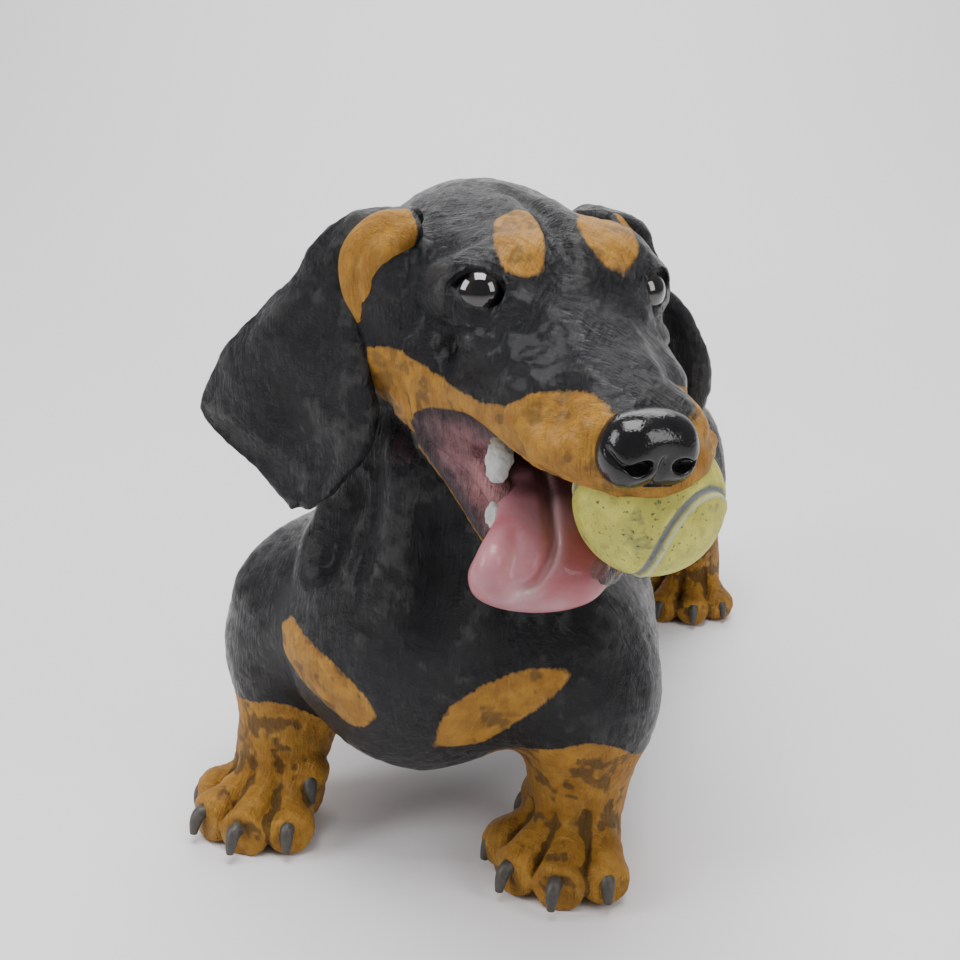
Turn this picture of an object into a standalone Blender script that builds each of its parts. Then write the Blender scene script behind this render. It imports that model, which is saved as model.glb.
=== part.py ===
"""A standing ceramic dachshund that holds a ball in its open mouth.

The dog is built the way a potter builds a large hollow figure: a hollow trunk with the neck, a hollow
head, four legs cored from the top, and separate jaw, tongue, ears, tail, nose, eyes, teeth and claws,
each set into the piece that carries it. Units are metres, +Z is up and the dog faces -Y.
"""

import math

import bmesh
import bpy
from mathutils import Euler, Matrix, Vector

MM = 0.001

# Driving dimensions, in millimetres until they are multiplied by MM.
GAP = 0.35 * MM  # clearance between two pieces that touch
WALL = 9 * MM  # thickness of the hollow trunk and head
BALL_RADIUS = 34 * MM
BALL_WALL = 8 * MM
BALL_VENT = 3 * MM
EYE_RADIUS = 13.5 * MM
EYE_SPACING = 82 * MM  # between the two eye centres
MUZZLE_LENGTH = 105 * MM  # from the eyes to the nose
NOSE_WIDTH = 49 * MM
SKULL_WIDTH = 118 * MM
EAR_THICKNESS = 9 * MM
CHEST_WIDTH = 190 * MM
CHEST_DEPTH = 160 * MM
CHEST_FLOOR = 48 * MM  # height of the breastbone above the ground
TRUNK_LENGTH = 330 * MM  # from the middle of the chest to the middle of the rump
LEG_RADIUS = 29 * MM
LEG_CORE_RADIUS = 13 * MM
PAW_LENGTH = 76 * MM  # from the heel to the tip of the longest toe
TOE_RADIUS = 13 * MM
CLAW_LENGTH = 17 * MM
CLAW_RADIUS = 5 * MM
TOOTH_RADIUS = 6 * MM
TAIL_LENGTH = 130 * MM
TAIL_RADIUS = 15 * MM
VENT_RADIUS = 16 * MM  # hole under the belly that lets the kiln's steam out
NECK_PASSAGE_RADIUS = 20 * MM  # hole between the trunk's hollow and the head's

# Where the head is held, and how far it is turned to the dog's left, nodded and tilted.
HEAD_PLACE = Vector((50, 40, 316)) * MM
HEAD_TURN = math.radians(46.7)
HEAD_NOD = math.radians(10.1)
HEAD_TILT = math.radians(4.7)

CLAY = bpy.data.collections.new("ceramic_dachshund")
CUTTERS = bpy.data.collections.new("cutters")


# ---------------------------------------------------------------- scene and materials


def clear_scene():
    for obj in list(bpy.data.objects):
        bpy.data.objects.remove(obj, do_unlink=True)
    bpy.context.scene.collection.children.link(CLAY)
    bpy.context.scene.collection.children.link(CUTTERS)


def glaze(name, colour, roughness):
    material = bpy.data.materials.new(name)
    material.use_nodes = True
    shader = material.node_tree.nodes["Principled BSDF"]
    shader.inputs["Base Color"].default_value = (*colour, 1)
    shader.inputs["Roughness"].default_value = roughness
    return material


BLACK = glaze("black_glaze", (0.018, 0.019, 0.022), 0.42)
TAN = glaze("tan_stain", (0.42, 0.20, 0.045), 0.6)
GLOSS = glaze("gloss_black", (0.006, 0.006, 0.007), 0.08)
PINK = glaze("tongue_pink", (0.72, 0.26, 0.27), 0.45)
IVORY = glaze("tooth_white", (0.72, 0.71, 0.64), 0.4)
CLAW = glaze("claw_grey", (0.03, 0.028, 0.026), 0.5)
LIME = glaze("ball_yellow", (0.55, 0.53, 0.11), 0.7)


# ---------------------------------------------------------------- working the clay


def turned(x=0.0, y=0.0, z=0.0):
    """A rotation, from angles in degrees about the three axes."""
    return Euler([math.radians(a) for a in (x, y, z)]).to_matrix().to_4x4()


def lump(form, centre, radii, turn=None):
    """Adds an egg of clay."""
    matrix = Matrix.Translation(Vector(centre)) @ (turn or Matrix()) @ Matrix.Diagonal((*radii, 1))
    bmesh.ops.create_uvsphere(form, u_segments=24, v_segments=14, radius=1, matrix=matrix)


def roll(form, places, radii):
    """Adds a rolled coil of clay through the places, as a row of overlapping eggs."""
    for (a, ra), (b, rb) in zip(zip(places, radii), zip(places[1:], radii[1:])):
        a, b = Vector(a), Vector(b)
        steps = max(2, math.ceil((b - a).length / (0.45 * min(ra, rb))))
        for i in range(steps + 1):
            share = i / steps
            radius = ra + (rb - ra) * share
            lump(form, a.lerp(b, share), (radius,) * 3)


def new_object(name, mesh, material, frame, collection):
    obj = bpy.data.objects.new(name, mesh)
    obj.matrix_world = frame
    collection.objects.link(obj)
    if material:
        mesh.materials.clear()
        mesh.materials.append(material)
    return obj


def settle(obj):
    """Replaces the object's mesh by its evaluated one, with every modifier applied."""
    bpy.context.view_layer.update()
    graph = bpy.context.evaluated_depsgraph_get()
    mesh = bpy.data.meshes.new_from_object(obj.evaluated_get(graph))
    obj.modifiers.clear()
    obj.data = mesh
    return obj


def mesh_of(form, name):
    mesh = bpy.data.meshes.new(name)
    form.to_mesh(mesh)
    form.free()
    return mesh


def smoothed(obj):
    obj.data.shade_smooth()
    obj.data.set_sharp_from_angle(angle=math.radians(50))
    return obj


def model_clay(name, form, material, frame, voxel, smoothing, triangles, hidden=False):
    """Presses the lumps in a form into one skin, smooths it and thins it to a number of triangles."""
    obj = new_object(name, mesh_of(form, name), material, frame, CUTTERS if hidden else CLAY)
    press = obj.modifiers.new("press", "REMESH")
    press.mode = "VOXEL"
    press.voxel_size = voxel
    press.use_smooth_shade = True
    if smoothing:
        smooth = obj.modifiers.new("smooth", "SMOOTH")
        smooth.factor = 0.5
        smooth.iterations = smoothing
    settle(obj)
    obj.data.calc_loop_triangles()
    thin = obj.modifiers.new("thin", "DECIMATE")
    thin.ratio = min(1, triangles / len(obj.data.loop_triangles))
    thin.use_collapse_triangulate = True
    settle(obj)
    if hidden:
        hide(obj)
    return smoothed(obj)


def hide(obj):
    obj.hide_render = True
    obj.display_type = "WIRE"
    return obj


def grown_copy(obj, growth):
    """A cutter: the object's own skin, moved outwards."""
    mesh = obj.data.copy()
    form = bmesh.new()
    form.from_mesh(mesh)
    bmesh.ops.triangulate(form, faces=form.faces)
    form.normal_update()
    for vertex in form.verts:
        vertex.co += vertex.normal * growth * vertex.calc_shell_factor()
    form.to_mesh(mesh)
    form.free()
    return hide(new_object(obj.name + "_cutter", mesh, None, obj.matrix_world.copy(), CUTTERS))


def cut(obj, cutter):
    boolean = obj.modifiers.new("cut", "BOOLEAN")
    boolean.operation = "DIFFERENCE"
    boolean.solver = "EXACT"
    boolean.use_self = True
    boolean.object = cutter
    return settle(obj)


def seat(obj, *neighbours, gap=GAP):
    """Cuts room in a piece for the neighbours that are set into it or against it."""
    for neighbour in neighbours:
        cut(obj, grown_copy(neighbour, gap))
    return keep_largest(obj)


def keep_largest(obj):
    """Trims the crumbs that a cut leaves, so that the piece is one body."""
    form = bmesh.new()
    form.from_mesh(obj.data)
    unseen, bodies = set(form.verts), []
    while unseen:
        body, edge_of_body = set(), [unseen.pop()]
        while edge_of_body:
            vertex = edge_of_body.pop()
            body.add(vertex)
            for edge in vertex.link_edges:
                other = edge.other_vert(vertex)
                if other in unseen:
                    unseen.remove(other)
                    edge_of_body.append(other)
        bodies.append(body)
    bodies.sort(key=len)
    for body in bodies[:-1]:
        bmesh.ops.delete(form, geom=list(body), context="VERTS")
    form.to_mesh(obj.data)
    form.free()
    return smoothed(obj)


def rod_cutter(name, start, end, start_radius, end_radius, sides=20):
    """A round, tapered drill from start to end, in the world's frame."""
    start, end = Vector(start), Vector(end)
    form = bmesh.new()
    middle = Matrix.Translation((start + end) / 2)
    aim = (end - start).to_track_quat("Z", "Y").to_matrix().to_4x4()
    bmesh.ops.create_cone(
        form, cap_ends=True, segments=sides, radius1=start_radius, radius2=end_radius,
        depth=(end - start).length, matrix=middle @ aim,
    )
    return hide(new_object(name, mesh_of(form, name), None, Matrix(), CUTTERS))


def stand_flat(obj):
    """Cuts a foot off level with the ground and closes the sole with one flat face."""
    form = bmesh.new()
    form.from_mesh(obj.data)
    everything = list(form.verts) + list(form.edges) + list(form.faces)
    bmesh.ops.bisect_plane(form, geom=everything, plane_co=(0, 0, 0), plane_no=(0, 0, 1), clear_inner=True)
    rim = [edge for edge in form.edges if edge.is_boundary]
    bmesh.ops.holes_fill(form, edges=rim, sides=0)
    form.to_mesh(obj.data)
    form.free()
    return smoothed(obj)


# ---------------------------------------------------------------- the head's own frame

HEAD = Matrix.Translation(HEAD_PLACE) @ (
    Matrix.Rotation(HEAD_TURN, 4, "Z")
    @ Matrix.Rotation(HEAD_NOD, 4, "X")
    @ Matrix.Rotation(HEAD_TILT, 4, "Y")
)
EYE_X = EYE_SPACING / 2
EYE_Y = -46 * MM
NOSE_Y = EYE_Y - MUZZLE_LENGTH
SKULL_HALF = SKULL_WIDTH / 2
# The ball is held behind the nose, to the dog's left, with half of it inside the jaws.
BALL_PLACE = Vector((17 * MM, NOSE_Y + 25 * MM, -8 * MM - BALL_RADIUS))


def muzzle_y(share):
    """A place along the muzzle, from 0 at the eyes to 1 at the nose."""
    return EYE_Y - MUZZLE_LENGTH * share


def ball():
    form = bmesh.new()
    bmesh.ops.create_icosphere(form, subdivisions=3, radius=BALL_RADIUS)
    obj = new_object("ball", mesh_of(form, "ball"), LIME, HEAD @ Matrix.Translation(BALL_PLACE), CLAY)
    hollow = bmesh.new()
    bmesh.ops.create_icosphere(hollow, subdivisions=2, radius=BALL_RADIUS - BALL_WALL)
    cut(obj, hide(new_object("ball_hollow", mesh_of(hollow, "ball_hollow"), None, obj.matrix_world.copy(), CUTTERS)))
    middle = obj.matrix_world.translation
    inwards = HEAD.to_3x3() @ Vector((0, 1, 0))
    cut(obj, rod_cutter("ball_vent", middle, middle + inwards * BALL_RADIUS * 1.3, BALL_VENT, BALL_VENT, 12))
    return smoothed(obj)


def eye(side, name):
    form = bmesh.new()
    bmesh.ops.create_icosphere(form, subdivisions=3, radius=EYE_RADIUS)
    place = Matrix.Translation((side * EYE_X, EYE_Y, 26 * MM))
    return smoothed(new_object(name, mesh_of(form, name), GLOSS, HEAD @ place, CLAY))


def nose_pad(*neighbours):
    form = bmesh.new()
    half = NOSE_WIDTH / 2
    for side in (-1, 1):
        lump(form, (side * half * 0.46, NOSE_Y + 5 * MM, -8 * MM), (half * 0.56, 14 * MM, 16 * MM))
    lump(form, (0, NOSE_Y + 6 * MM, -6 * MM), (half * 0.8, 13 * MM, 15 * MM))
    return seat(model_clay("nose_pad", form, GLOSS, HEAD, 2 * MM, 4, 300), *neighbours)


def tooth(name, place, length, radius, turn):
    """A peg of white clay with a rounded point, pushed into the gum."""
    form = bmesh.new()
    profile = [(1.0, 0.0), (1.05, 0.3), (0.85, 0.62), (0.5, 0.88)]
    rings = []
    for width, share in profile:
        ring = bmesh.ops.create_circle(form, segments=10, radius=width * radius)["verts"]
        bmesh.ops.translate(form, verts=ring, vec=(0, 0, share * length))
        rings.append(ring)
    for low, high in zip(rings, rings[1:]):
        for i in range(len(low)):
            j = (i + 1) % len(low)
            form.faces.new((low[i], low[j], high[j], high[i]))
    form.faces.new(list(reversed(rings[0])))
    tip = form.verts.new((0, 0, length))
    for i in range(len(rings[-1])):
        form.faces.new((rings[-1][i], rings[-1][(i + 1) % len(rings[-1])], tip))
    bmesh.ops.recalc_face_normals(form, faces=form.faces)
    frame = HEAD @ Matrix.Translation(place) @ turn
    return smoothed(new_object(name, mesh_of(form, name), IVORY, frame, CLAY))


def teeth():
    """The teeth that show: the lower canines and cheek teeth, an upper cheek tooth on each side."""
    made = []
    for side, word in ((-1, "right"), (1, "left")):
        upper = (side * 33 * MM, muzzle_y(0.28), -34 * MM)
        lower = (side * 31 * MM, muzzle_y(0.31), -83 * MM)
        canine = (side * 8 * MM, NOSE_Y + 29 * MM, -88 * MM)
        made.append(tooth(f"{word}_upper_cheek_tooth", upper, 22 * MM, TOOTH_RADIUS, turned(x=180)))
        made.append(tooth(f"{word}_lower_cheek_tooth", lower, 19 * MM, 0.8 * TOOTH_RADIUS, turned(x=-8)))
        canine_length = (18 if side < 0 else 11) * MM  # the left one is short, under the ball
        made.append(tooth(f"{word}_lower_canine", canine, canine_length, 0.66 * TOOTH_RADIUS, turned(y=side * 8)))
    return made


# ---------------------------------------------------------------- jaw, tongue, head


def tongue(*neighbours):
    """A thick slab of clay that lies in the jaw, widens, and hangs over its right lip."""
    # Middle of the slab, half its width, half its thickness, how far it leans over the lip.
    slices = [
        ((0, -24, -58), 19, 7, 0),
        ((-5, -56, -61), 22, 7, 2),
        ((-14, -84, -65), 25, 7.5, 6),
        ((-20, -102, -72), 29, 8, 10),
        ((-23, -111, -83), 30, 8.5, 14),
        ((-24, -112, -91), 25, 8.5, 16),
    ]
    form = bmesh.new()
    for (a, wa, ta, la), (b, wb, tb, lb) in zip(slices, slices[1:]):
        for i in range(4):
            share = i / 3
            place = Vector(a).lerp(Vector(b), share) * MM
            width, thick, lean = (wa + (wb - wa) * share, ta + (tb - ta) * share, la + (lb - la) * share)
            lump(form, place, (width * MM, 12 * MM, thick * MM), turned(x=lean * 2, y=-lean))
    obj = model_clay("tongue", form, PINK, HEAD, 2.6 * MM, 6, 380)
    return seat(obj, *neighbours)


def lower_jaw(*neighbours):
    """A trough of clay with a raised lip on each side, hinged under the cheeks."""
    chin = (0, NOSE_Y + 37 * MM, -84 * MM)
    form = bmesh.new()
    for side in (-1, 1):
        places = [
            (side * 38 * MM, -4 * MM, -54 * MM),
            (side * 37 * MM, muzzle_y(-0.12), -60 * MM),
            (side * 33 * MM, muzzle_y(0.14), -70 * MM),
            (side * 28 * MM, muzzle_y(0.33), -80 * MM),
            (side * 17 * MM, muzzle_y(0.55), -86 * MM),
            chin,
        ]
        roll(form, places, [14 * MM, 12 * MM, 11 * MM, 11 * MM, 10 * MM, 10 * MM])
    lump(form, (0, muzzle_y(0.05), -77 * MM), (34 * MM, 46 * MM, 9 * MM), turned(x=14))
    lump(form, (0, muzzle_y(0.38), -88 * MM), (24 * MM, 34 * MM, 8 * MM), turned(x=4))
    # The back of the throat and the web of each cheek, which close the mouth behind.
    lump(form, (0, 2 * MM, -50 * MM), (42 * MM, 14 * MM, 32 * MM), turned(x=-12))
    obj = model_clay("lower_jaw", form, TAN, HEAD, 3 * MM, 4, 620)
    return seat(obj, *neighbours)


def skull_form(shrink=0.0):
    """The cranium and cheeks. With a wall for shrink, it is the hollow inside them."""
    form = bmesh.new()
    s = shrink
    lump(form, (0, 22 * MM, 6 * MM), (SKULL_HALF - s, 72 * MM - s, 49 * MM - s))
    lump(form, (0, -20 * MM, 20 * MM), (48 * MM - s, 46 * MM - s, 34 * MM - s))
    for side in (-1, 1):
        lump(form, (side * 38 * MM, 2 * MM, -22 * MM), (24 * MM - s / 2, 50 * MM - s, 34 * MM - s))
    return form


def head_shell(*neighbours):
    form = skull_form()
    for side in (-1, 1):
        lump(form, (side * 25 * MM, -36 * MM, 36 * MM), (20 * MM, 20 * MM, 15 * MM))
        lip = [
            (side * 38 * MM, -12 * MM, -36 * MM),
            (side * 39 * MM, muzzle_y(-0.04), -21 * MM),
            (side * 36 * MM, muzzle_y(0.21), -15 * MM),
            (side * 32 * MM, muzzle_y(0.4), -14 * MM),
            (side * 27 * MM, muzzle_y(0.58), -14 * MM),
            (side * 20 * MM, muzzle_y(0.78), -14 * MM),
            (side * 12 * MM, muzzle_y(0.88), -14 * MM),
        ]
        roll(form, lip, [15 * MM, 14 * MM, 13 * MM, 13 * MM, 13 * MM, 12 * MM, 11 * MM])
    lump(form, (0, muzzle_y(0.1), 6 * MM), (41 * MM, 40 * MM, 27 * MM))
    lump(form, (0, muzzle_y(0.5), 0), (31 * MM, 58 * MM, 21 * MM), turned(x=8))
    lump(form, (0, NOSE_Y + 26 * MM, -5 * MM), (25 * MM, 22 * MM, 16 * MM))
    obj = model_clay("head_shell", form, BLACK, HEAD, 3.5 * MM, 6, 1150)
    hollow = model_clay("head_hollow", skull_form(WALL), None, HEAD, 5 * MM, 6, 220, hidden=True)
    cut(obj, hollow)
    cut(obj, neck_passage())
    return seat(obj, *neighbours)


# Each row of an ear, from the fold at the skull to the tip: its front edge, then its back edge.
RIGHT_EAR = [
    ((-50, 6, 40), (-50, 46, 30)),
    ((-62, 2, 44), (-70, 40, 38)),
    ((-68, 0, 30), (-82, 42, 20)),
    ((-66, 0, 4), (-97, 54, -12)),
    ((-63, 0, -24), (-110, 78, -46)),
    ((-64, 0, -50), (-122, 104, -86)),
    ((-68, 2, -76), (-116, 90, -108)),
    ((-78, 8, -98), (-105, 60, -121)),
    ((-88, 20, -118), (-96, 38, -124)),
]
LEFT_EAR = [
    ((50, 6, 40), (50, 46, 30)),
    ((68, 0, 43), (62, 44, 36)),
    ((74, 0, 30), (74, 54, 16)),
    ((86, -2, 10), (84, 66, -16)),
    ((106, -14, -10), (92, 80, -50)),
    ((112, -22, -36), (96, 84, -80)),
    ((106, -22, -66), (95, 70, -100)),
    ((94, -6, -94), (92, 46, -112)),
    ((88, 12, -110), (90, 30, -114)),
]


def ear(name, side, rows, neighbours):
    """A slab ear that folds out of the skull and hangs down beside it."""
    across, down = 4, len(rows) - 1
    form = bmesh.new()
    bmesh.ops.create_grid(form, x_segments=across, y_segments=down, size=1)
    for vertex in form.verts:
        row = round((vertex.co.y + 1) / 2 * down)
        share = (vertex.co.x + 1) / 2
        front, back = (Vector(place) for place in rows[row])
        place = front.lerp(back, share)
        # The slab bellies outwards between its edges.
        place.x += side * 7 * math.sin(math.pi * share)
        vertex.co = place * MM
    obj = new_object(name, mesh_of(form, name), BLACK, HEAD, CLAY)
    thick = obj.modifiers.new("thick", "SOLIDIFY")
    thick.thickness = EAR_THICKNESS
    thick.offset = 0
    thick.use_even_offset = True
    soft = obj.modifiers.new("soft", "SUBSURF")
    soft.levels = soft.render_levels = 1
    settle(obj)
    form = bmesh.new()
    form.from_mesh(obj.data)
    bmesh.ops.recalc_face_normals(form, faces=form.faces)
    form.to_mesh(obj.data)
    form.free()
    return seat(smoothed(obj), *neighbours)


# ---------------------------------------------------------------- trunk, legs and tail

CHEST_HALF = CHEST_WIDTH / 2
CHEST_HIGH = CHEST_DEPTH / 2
CHEST_Z = CHEST_FLOOR + CHEST_HIGH
CHEST_Y = 65 * MM
RUMP_Y = CHEST_Y + TRUNK_LENGTH
NECK_BASE = Vector((4 * MM, 52 * MM, CHEST_Z + 42 * MM))
NECK_TOP = HEAD @ Vector((0, 38 * MM, -34 * MM))


def neck_passage():
    """The drill that joins the hollow of the trunk to the hollow of the head."""
    inside_trunk = NECK_BASE.lerp(NECK_TOP, -0.35)
    inside_head = HEAD @ Vector((0, 24 * MM, 4 * MM))
    return rod_cutter("neck_passage", inside_trunk, inside_head, NECK_PASSAGE_RADIUS, NECK_PASSAGE_RADIUS)


def trunk_form(shrink=0.0):
    """Chest, barrel, rump and neck. With a wall for shrink, it is the hollow inside them."""
    s = shrink
    form = bmesh.new()
    middle = CHEST_Y + TRUNK_LENGTH * 0.5
    barrel_top = CHEST_Z + CHEST_HIGH - 2 * MM
    barrel_high = CHEST_HIGH * 0.9
    barrel_z = barrel_top - barrel_high
    lump(form, (0, CHEST_Y, CHEST_Z + 4 * MM), (CHEST_HALF - s, 92 * MM - s, CHEST_HIGH - 4 * MM - s))
    lump(form, (0, CHEST_Y - 4 * MM, CHEST_Z - 6 * MM), (56 * MM - s, 84 * MM - s, CHEST_HIGH - 6 * MM - s))
    roll(form, [(0, CHEST_Y + 20 * MM, barrel_z), (0, middle, barrel_z + 2 * MM), (0, RUMP_Y, barrel_z)],
         [CHEST_HALF * 0.88 - s, CHEST_HALF * 0.82 - s, CHEST_HALF * 0.78 - s])
    lump(form, (0, RUMP_Y - 4 * MM, barrel_z - 2 * MM), (CHEST_HALF * 0.8 - s, 80 * MM - s, barrel_high * 0.98 - s))
    roll(form, [NECK_BASE, NECK_TOP], [68 * MM - s, 50 * MM - s])
    for side in (-1, 1):
        lump(form, (side * 85 * MM, CHEST_Y, CHEST_Z + 2 * MM), (45 * MM - s, 54 * MM - s, 68 * MM - s), turned(x=-8))
        lump(form, (side * 94 * MM, CHEST_Y - 12 * MM, CHEST_Z - 28 * MM), (34 * MM - s, 36 * MM - s, 38 * MM - s))
        lump(form, (side * 66 * MM, CHEST_Y + 48 * MM, CHEST_Z + 8 * MM), (38 * MM - s, 70 * MM - s, 58 * MM - s))
        lump(form, (side * 54 * MM, RUMP_Y - 16 * MM, barrel_z - 22 * MM), (36 * MM - s, 58 * MM - s, 56 * MM - s))
    return form


def trunk_shell(cores, *neighbours):
    obj = model_clay("trunk_shell", trunk_form(), BLACK, Matrix(), 5 * MM, 10, 1100)
    hollow = model_clay("trunk_hollow", trunk_form(WALL), None, Matrix(), 7 * MM, 8, 260, hidden=True)
    cut(obj, hollow)
    cut(obj, neck_passage())
    belly = Vector((0, CHEST_Y + TRUNK_LENGTH * 0.5, 0))
    top = belly + Vector((0, 0, CHEST_Z))
    cut(obj, rod_cutter("belly_vent", belly, top, VENT_RADIUS, VENT_RADIUS))
    for core in cores:
        cut(obj, core)
    return seat(obj, *neighbours)


# The hind paws stand a little behind the middle of the rump, and their legs meet the trunk there.
HIND_PAW_Y = RUMP_Y + 17 * MM
HIND_TOP_Y = RUMP_Y + 5 * MM
# name, where the paw stands, how far it is turned, where the leg meets the trunk, size, dewclaw
LEGS = [
    ("right_front", Vector((-92, 20, 0)) * MM, -18, Vector((-80, 48, 104)) * MM, 1.0, True),
    ("left_front", Vector((86, 38, 0)) * MM, -10, Vector((94, 54, 104)) * MM, 1.0, True),
    ("right_hind", Vector((-64 * MM, HIND_PAW_Y, 0)), -8, Vector((-56 * MM, HIND_TOP_Y, 100 * MM)), 0.88, False),
    ("left_hind", Vector((60 * MM, HIND_PAW_Y, 0)), 4, Vector((56 * MM, HIND_TOP_Y, 100 * MM)), 0.88, False),
]
TOE_FAN = (-36, -12, 12, 36)  # degrees, from the outer right toe to the outer left one
TOE_REACH = (0.86, 1.0, 1.0, 0.86)  # share of the paw's length that each toe has


def paw_frame(place, turn):
    return Matrix.Translation(place) @ turned(z=turn)


def toe_tip(angle, reach, size):
    """The middle of a toe's end, in the paw's frame, which has its heel behind the origin."""
    heel = Vector((0, 0.42 * PAW_LENGTH * size, 0))
    out = Vector((math.sin(math.radians(angle)), -math.cos(math.radians(angle)), 0))
    return heel + out * (PAW_LENGTH * size * reach - TOE_RADIUS * size) + Vector((0, 0, TOE_RADIUS * 0.95 * size))


def dewclaw_toe(place):
    """The middle of the small toe on the inner side of a wrist, in the paw's frame."""
    inner = 1 if place.x < 0 else -1
    return Vector((inner * 25 * MM, 14 * MM, 36 * MM))


def claws(name, place, turn, size, dewclaw):
    """One bent, pointed claw for each toe, its root buried in the toe and its point near the ground."""
    made = []
    spots = [(f"{name}_claw_{i + 1}", toe_tip(a, r, size), a) for i, (a, r) in enumerate(zip(TOE_FAN, TOE_REACH))]
    if dewclaw:
        spots.append((f"{name}_dewclaw", dewclaw_toe(place), 45 if place.x < 0 else -45))
    for claw_name, tip, angle in spots:
        form = bmesh.new()
        steps = 5
        for i in range(steps):
            share = i / (steps - 1)
            radius = CLAW_RADIUS * size * (1 - 0.62 * share)
            reach = TOE_RADIUS * size * 0.6 + CLAW_LENGTH * size * 0.46 * share
            drop = CLAW_LENGTH * size * 0.42 * share * share
            bmesh.ops.create_uvsphere(
                form, u_segments=10, v_segments=6, radius=radius,
                matrix=Matrix.Translation((0, -reach, 0.001 - drop)),
            )
        frame = paw_frame(place, turn) @ Matrix.Translation(tip) @ turned(z=angle)
        made.append(model_clay(claw_name, form, CLAW, frame, 1.3 * MM, 1, 60))
    return made


def leg_core(name, place, top, size):
    """The hollow up the middle of a leg, which opens into the trunk."""
    low = place + Vector((0, 14 * MM * size, 34 * MM * size))
    high = top + (top - low) * 0.35
    return rod_cutter(f"{name}_core", low, high, 0.75 * LEG_CORE_RADIUS, LEG_CORE_RADIUS, 16)


def leg(name, place, turn, top, size, dewclaw, own_claws, core, trunk):
    paw = paw_frame(place, turn)
    form = bmesh.new()
    if dewclaw:
        lump(form, paw @ dewclaw_toe(place), (9 * MM, 11 * MM, 10 * MM))
    for angle, reach in zip(TOE_FAN, TOE_REACH):
        tip = toe_tip(angle, reach, size)
        knuckle = tip.lerp(Vector((0, 0.3 * PAW_LENGTH * size, 0)), 0.4)
        knuckle.z = 22 * MM * size
        root = Vector((tip.x * 0.35, 4 * MM, 26 * MM * size))
        roll(form, [paw @ tip, paw @ knuckle, paw @ root], [TOE_RADIUS * size, TOE_RADIUS * size, 13 * MM * size])
    lump(form, paw @ Vector((0, 8 * MM * size, 14 * MM * size)), (27 * MM * size, 27 * MM * size, 20 * MM * size),
         turned(z=turn))
    wrist = place + Vector((0, 16 * MM * size, 34 * MM * size))
    roll(form, [wrist, top, top + (top - wrist) * 0.2],
         [(LEG_RADIUS - 2 * MM) * size, (LEG_RADIUS + 3 * MM) * size, LEG_RADIUS * size])
    obj = model_clay(f"{name}_leg", form, TAN, Matrix(), 3.2 * MM, 3, 400)
    stand_flat(obj)
    cut(obj, core)
    return seat(obj, trunk, *own_claws)


def tail(trunk):
    """A tapering coil that carries on the line of the back and hangs a little."""
    root = Vector((0, RUMP_Y + 60 * MM, CHEST_Z + 36 * MM))
    form = bmesh.new()
    places, radii = [], []
    for i in range(7):
        share = i / 6
        bend = math.radians(-22 + 30 * share)
        step = Vector((0.06 * share, math.cos(bend), math.sin(bend))) * TAIL_LENGTH / 6
        places.append((places[-1] + step) if places else root)
        radii.append(TAIL_RADIUS * (1 - 0.6 * share))
    roll(form, places, radii)
    obj = model_clay("tail", form, BLACK, Matrix(), 3 * MM, 3, 220)
    return seat(obj, trunk)


def centre_on_ground(objects):
    """Moves the whole figure so that the middle of its footprint is the origin."""
    bpy.context.view_layer.update()
    corners = [obj.matrix_world @ vertex.co for obj in objects for vertex in obj.data.vertices]
    low = [min(c[k] for c in corners) for k in range(3)]
    high = [max(c[k] for c in corners) for k in range(3)]
    shift = Matrix.Translation((-(low[0] + high[0]) / 2, -(low[1] + high[1]) / 2, -low[2]))
    for obj in list(CLAY.objects) + list(CUTTERS.objects):
        obj.matrix_world = shift @ obj.matrix_world


def main():
    clear_scene()
    the_ball = ball()
    eyes = [eye(-1, "right_eye"), eye(1, "left_eye")]
    nose = nose_pad(the_ball)
    all_teeth = teeth()
    jaw = lower_jaw(the_ball, *all_teeth)
    the_tongue = tongue(the_ball, jaw, *all_teeth)
    head = head_shell(the_ball, nose, *eyes, *all_teeth, jaw, the_tongue)
    ears = [ear("right_ear", -1, RIGHT_EAR, [head]), ear("left_ear", 1, LEFT_EAR, [head])]
    cores = [leg_core(name, place, top, size) for name, place, _, top, size, _ in LEGS]
    trunk = trunk_shell(cores, head, jaw, the_tongue, *ears)
    for (name, place, turn, top, size, dewclaw), core in zip(LEGS, cores):
        own_claws = claws(name, place, turn, size, dewclaw)
        leg(name, place, turn, top, size, dewclaw, own_claws, core, trunk)
    tail(trunk)
    centre_on_ground(list(CLAY.objects))


main()
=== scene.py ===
import itertools
import math

import bpy
import numpy as np
import openvdb
from mathutils import Euler, Matrix, Vector


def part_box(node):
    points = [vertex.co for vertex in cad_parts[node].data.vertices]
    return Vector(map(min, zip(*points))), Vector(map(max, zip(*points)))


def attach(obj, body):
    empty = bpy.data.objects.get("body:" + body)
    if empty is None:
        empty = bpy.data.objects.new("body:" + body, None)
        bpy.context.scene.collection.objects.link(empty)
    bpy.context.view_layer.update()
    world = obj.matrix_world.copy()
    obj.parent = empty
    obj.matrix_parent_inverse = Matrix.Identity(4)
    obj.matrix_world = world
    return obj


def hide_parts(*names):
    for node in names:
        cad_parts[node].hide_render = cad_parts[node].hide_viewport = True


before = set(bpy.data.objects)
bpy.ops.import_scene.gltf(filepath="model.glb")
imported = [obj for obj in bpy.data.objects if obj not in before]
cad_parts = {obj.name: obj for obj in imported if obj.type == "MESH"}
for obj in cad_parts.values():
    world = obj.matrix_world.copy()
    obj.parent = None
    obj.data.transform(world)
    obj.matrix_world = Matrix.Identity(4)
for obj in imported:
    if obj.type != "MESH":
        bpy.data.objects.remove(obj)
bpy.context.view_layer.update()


# ---------------------------------------------------------------- camera, floor and lamps
# A pale paper sweep that rises behind the figurine, and three large soft boxes.
# The camera looks down at the dog from its front right.

MM = 0.001


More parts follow.
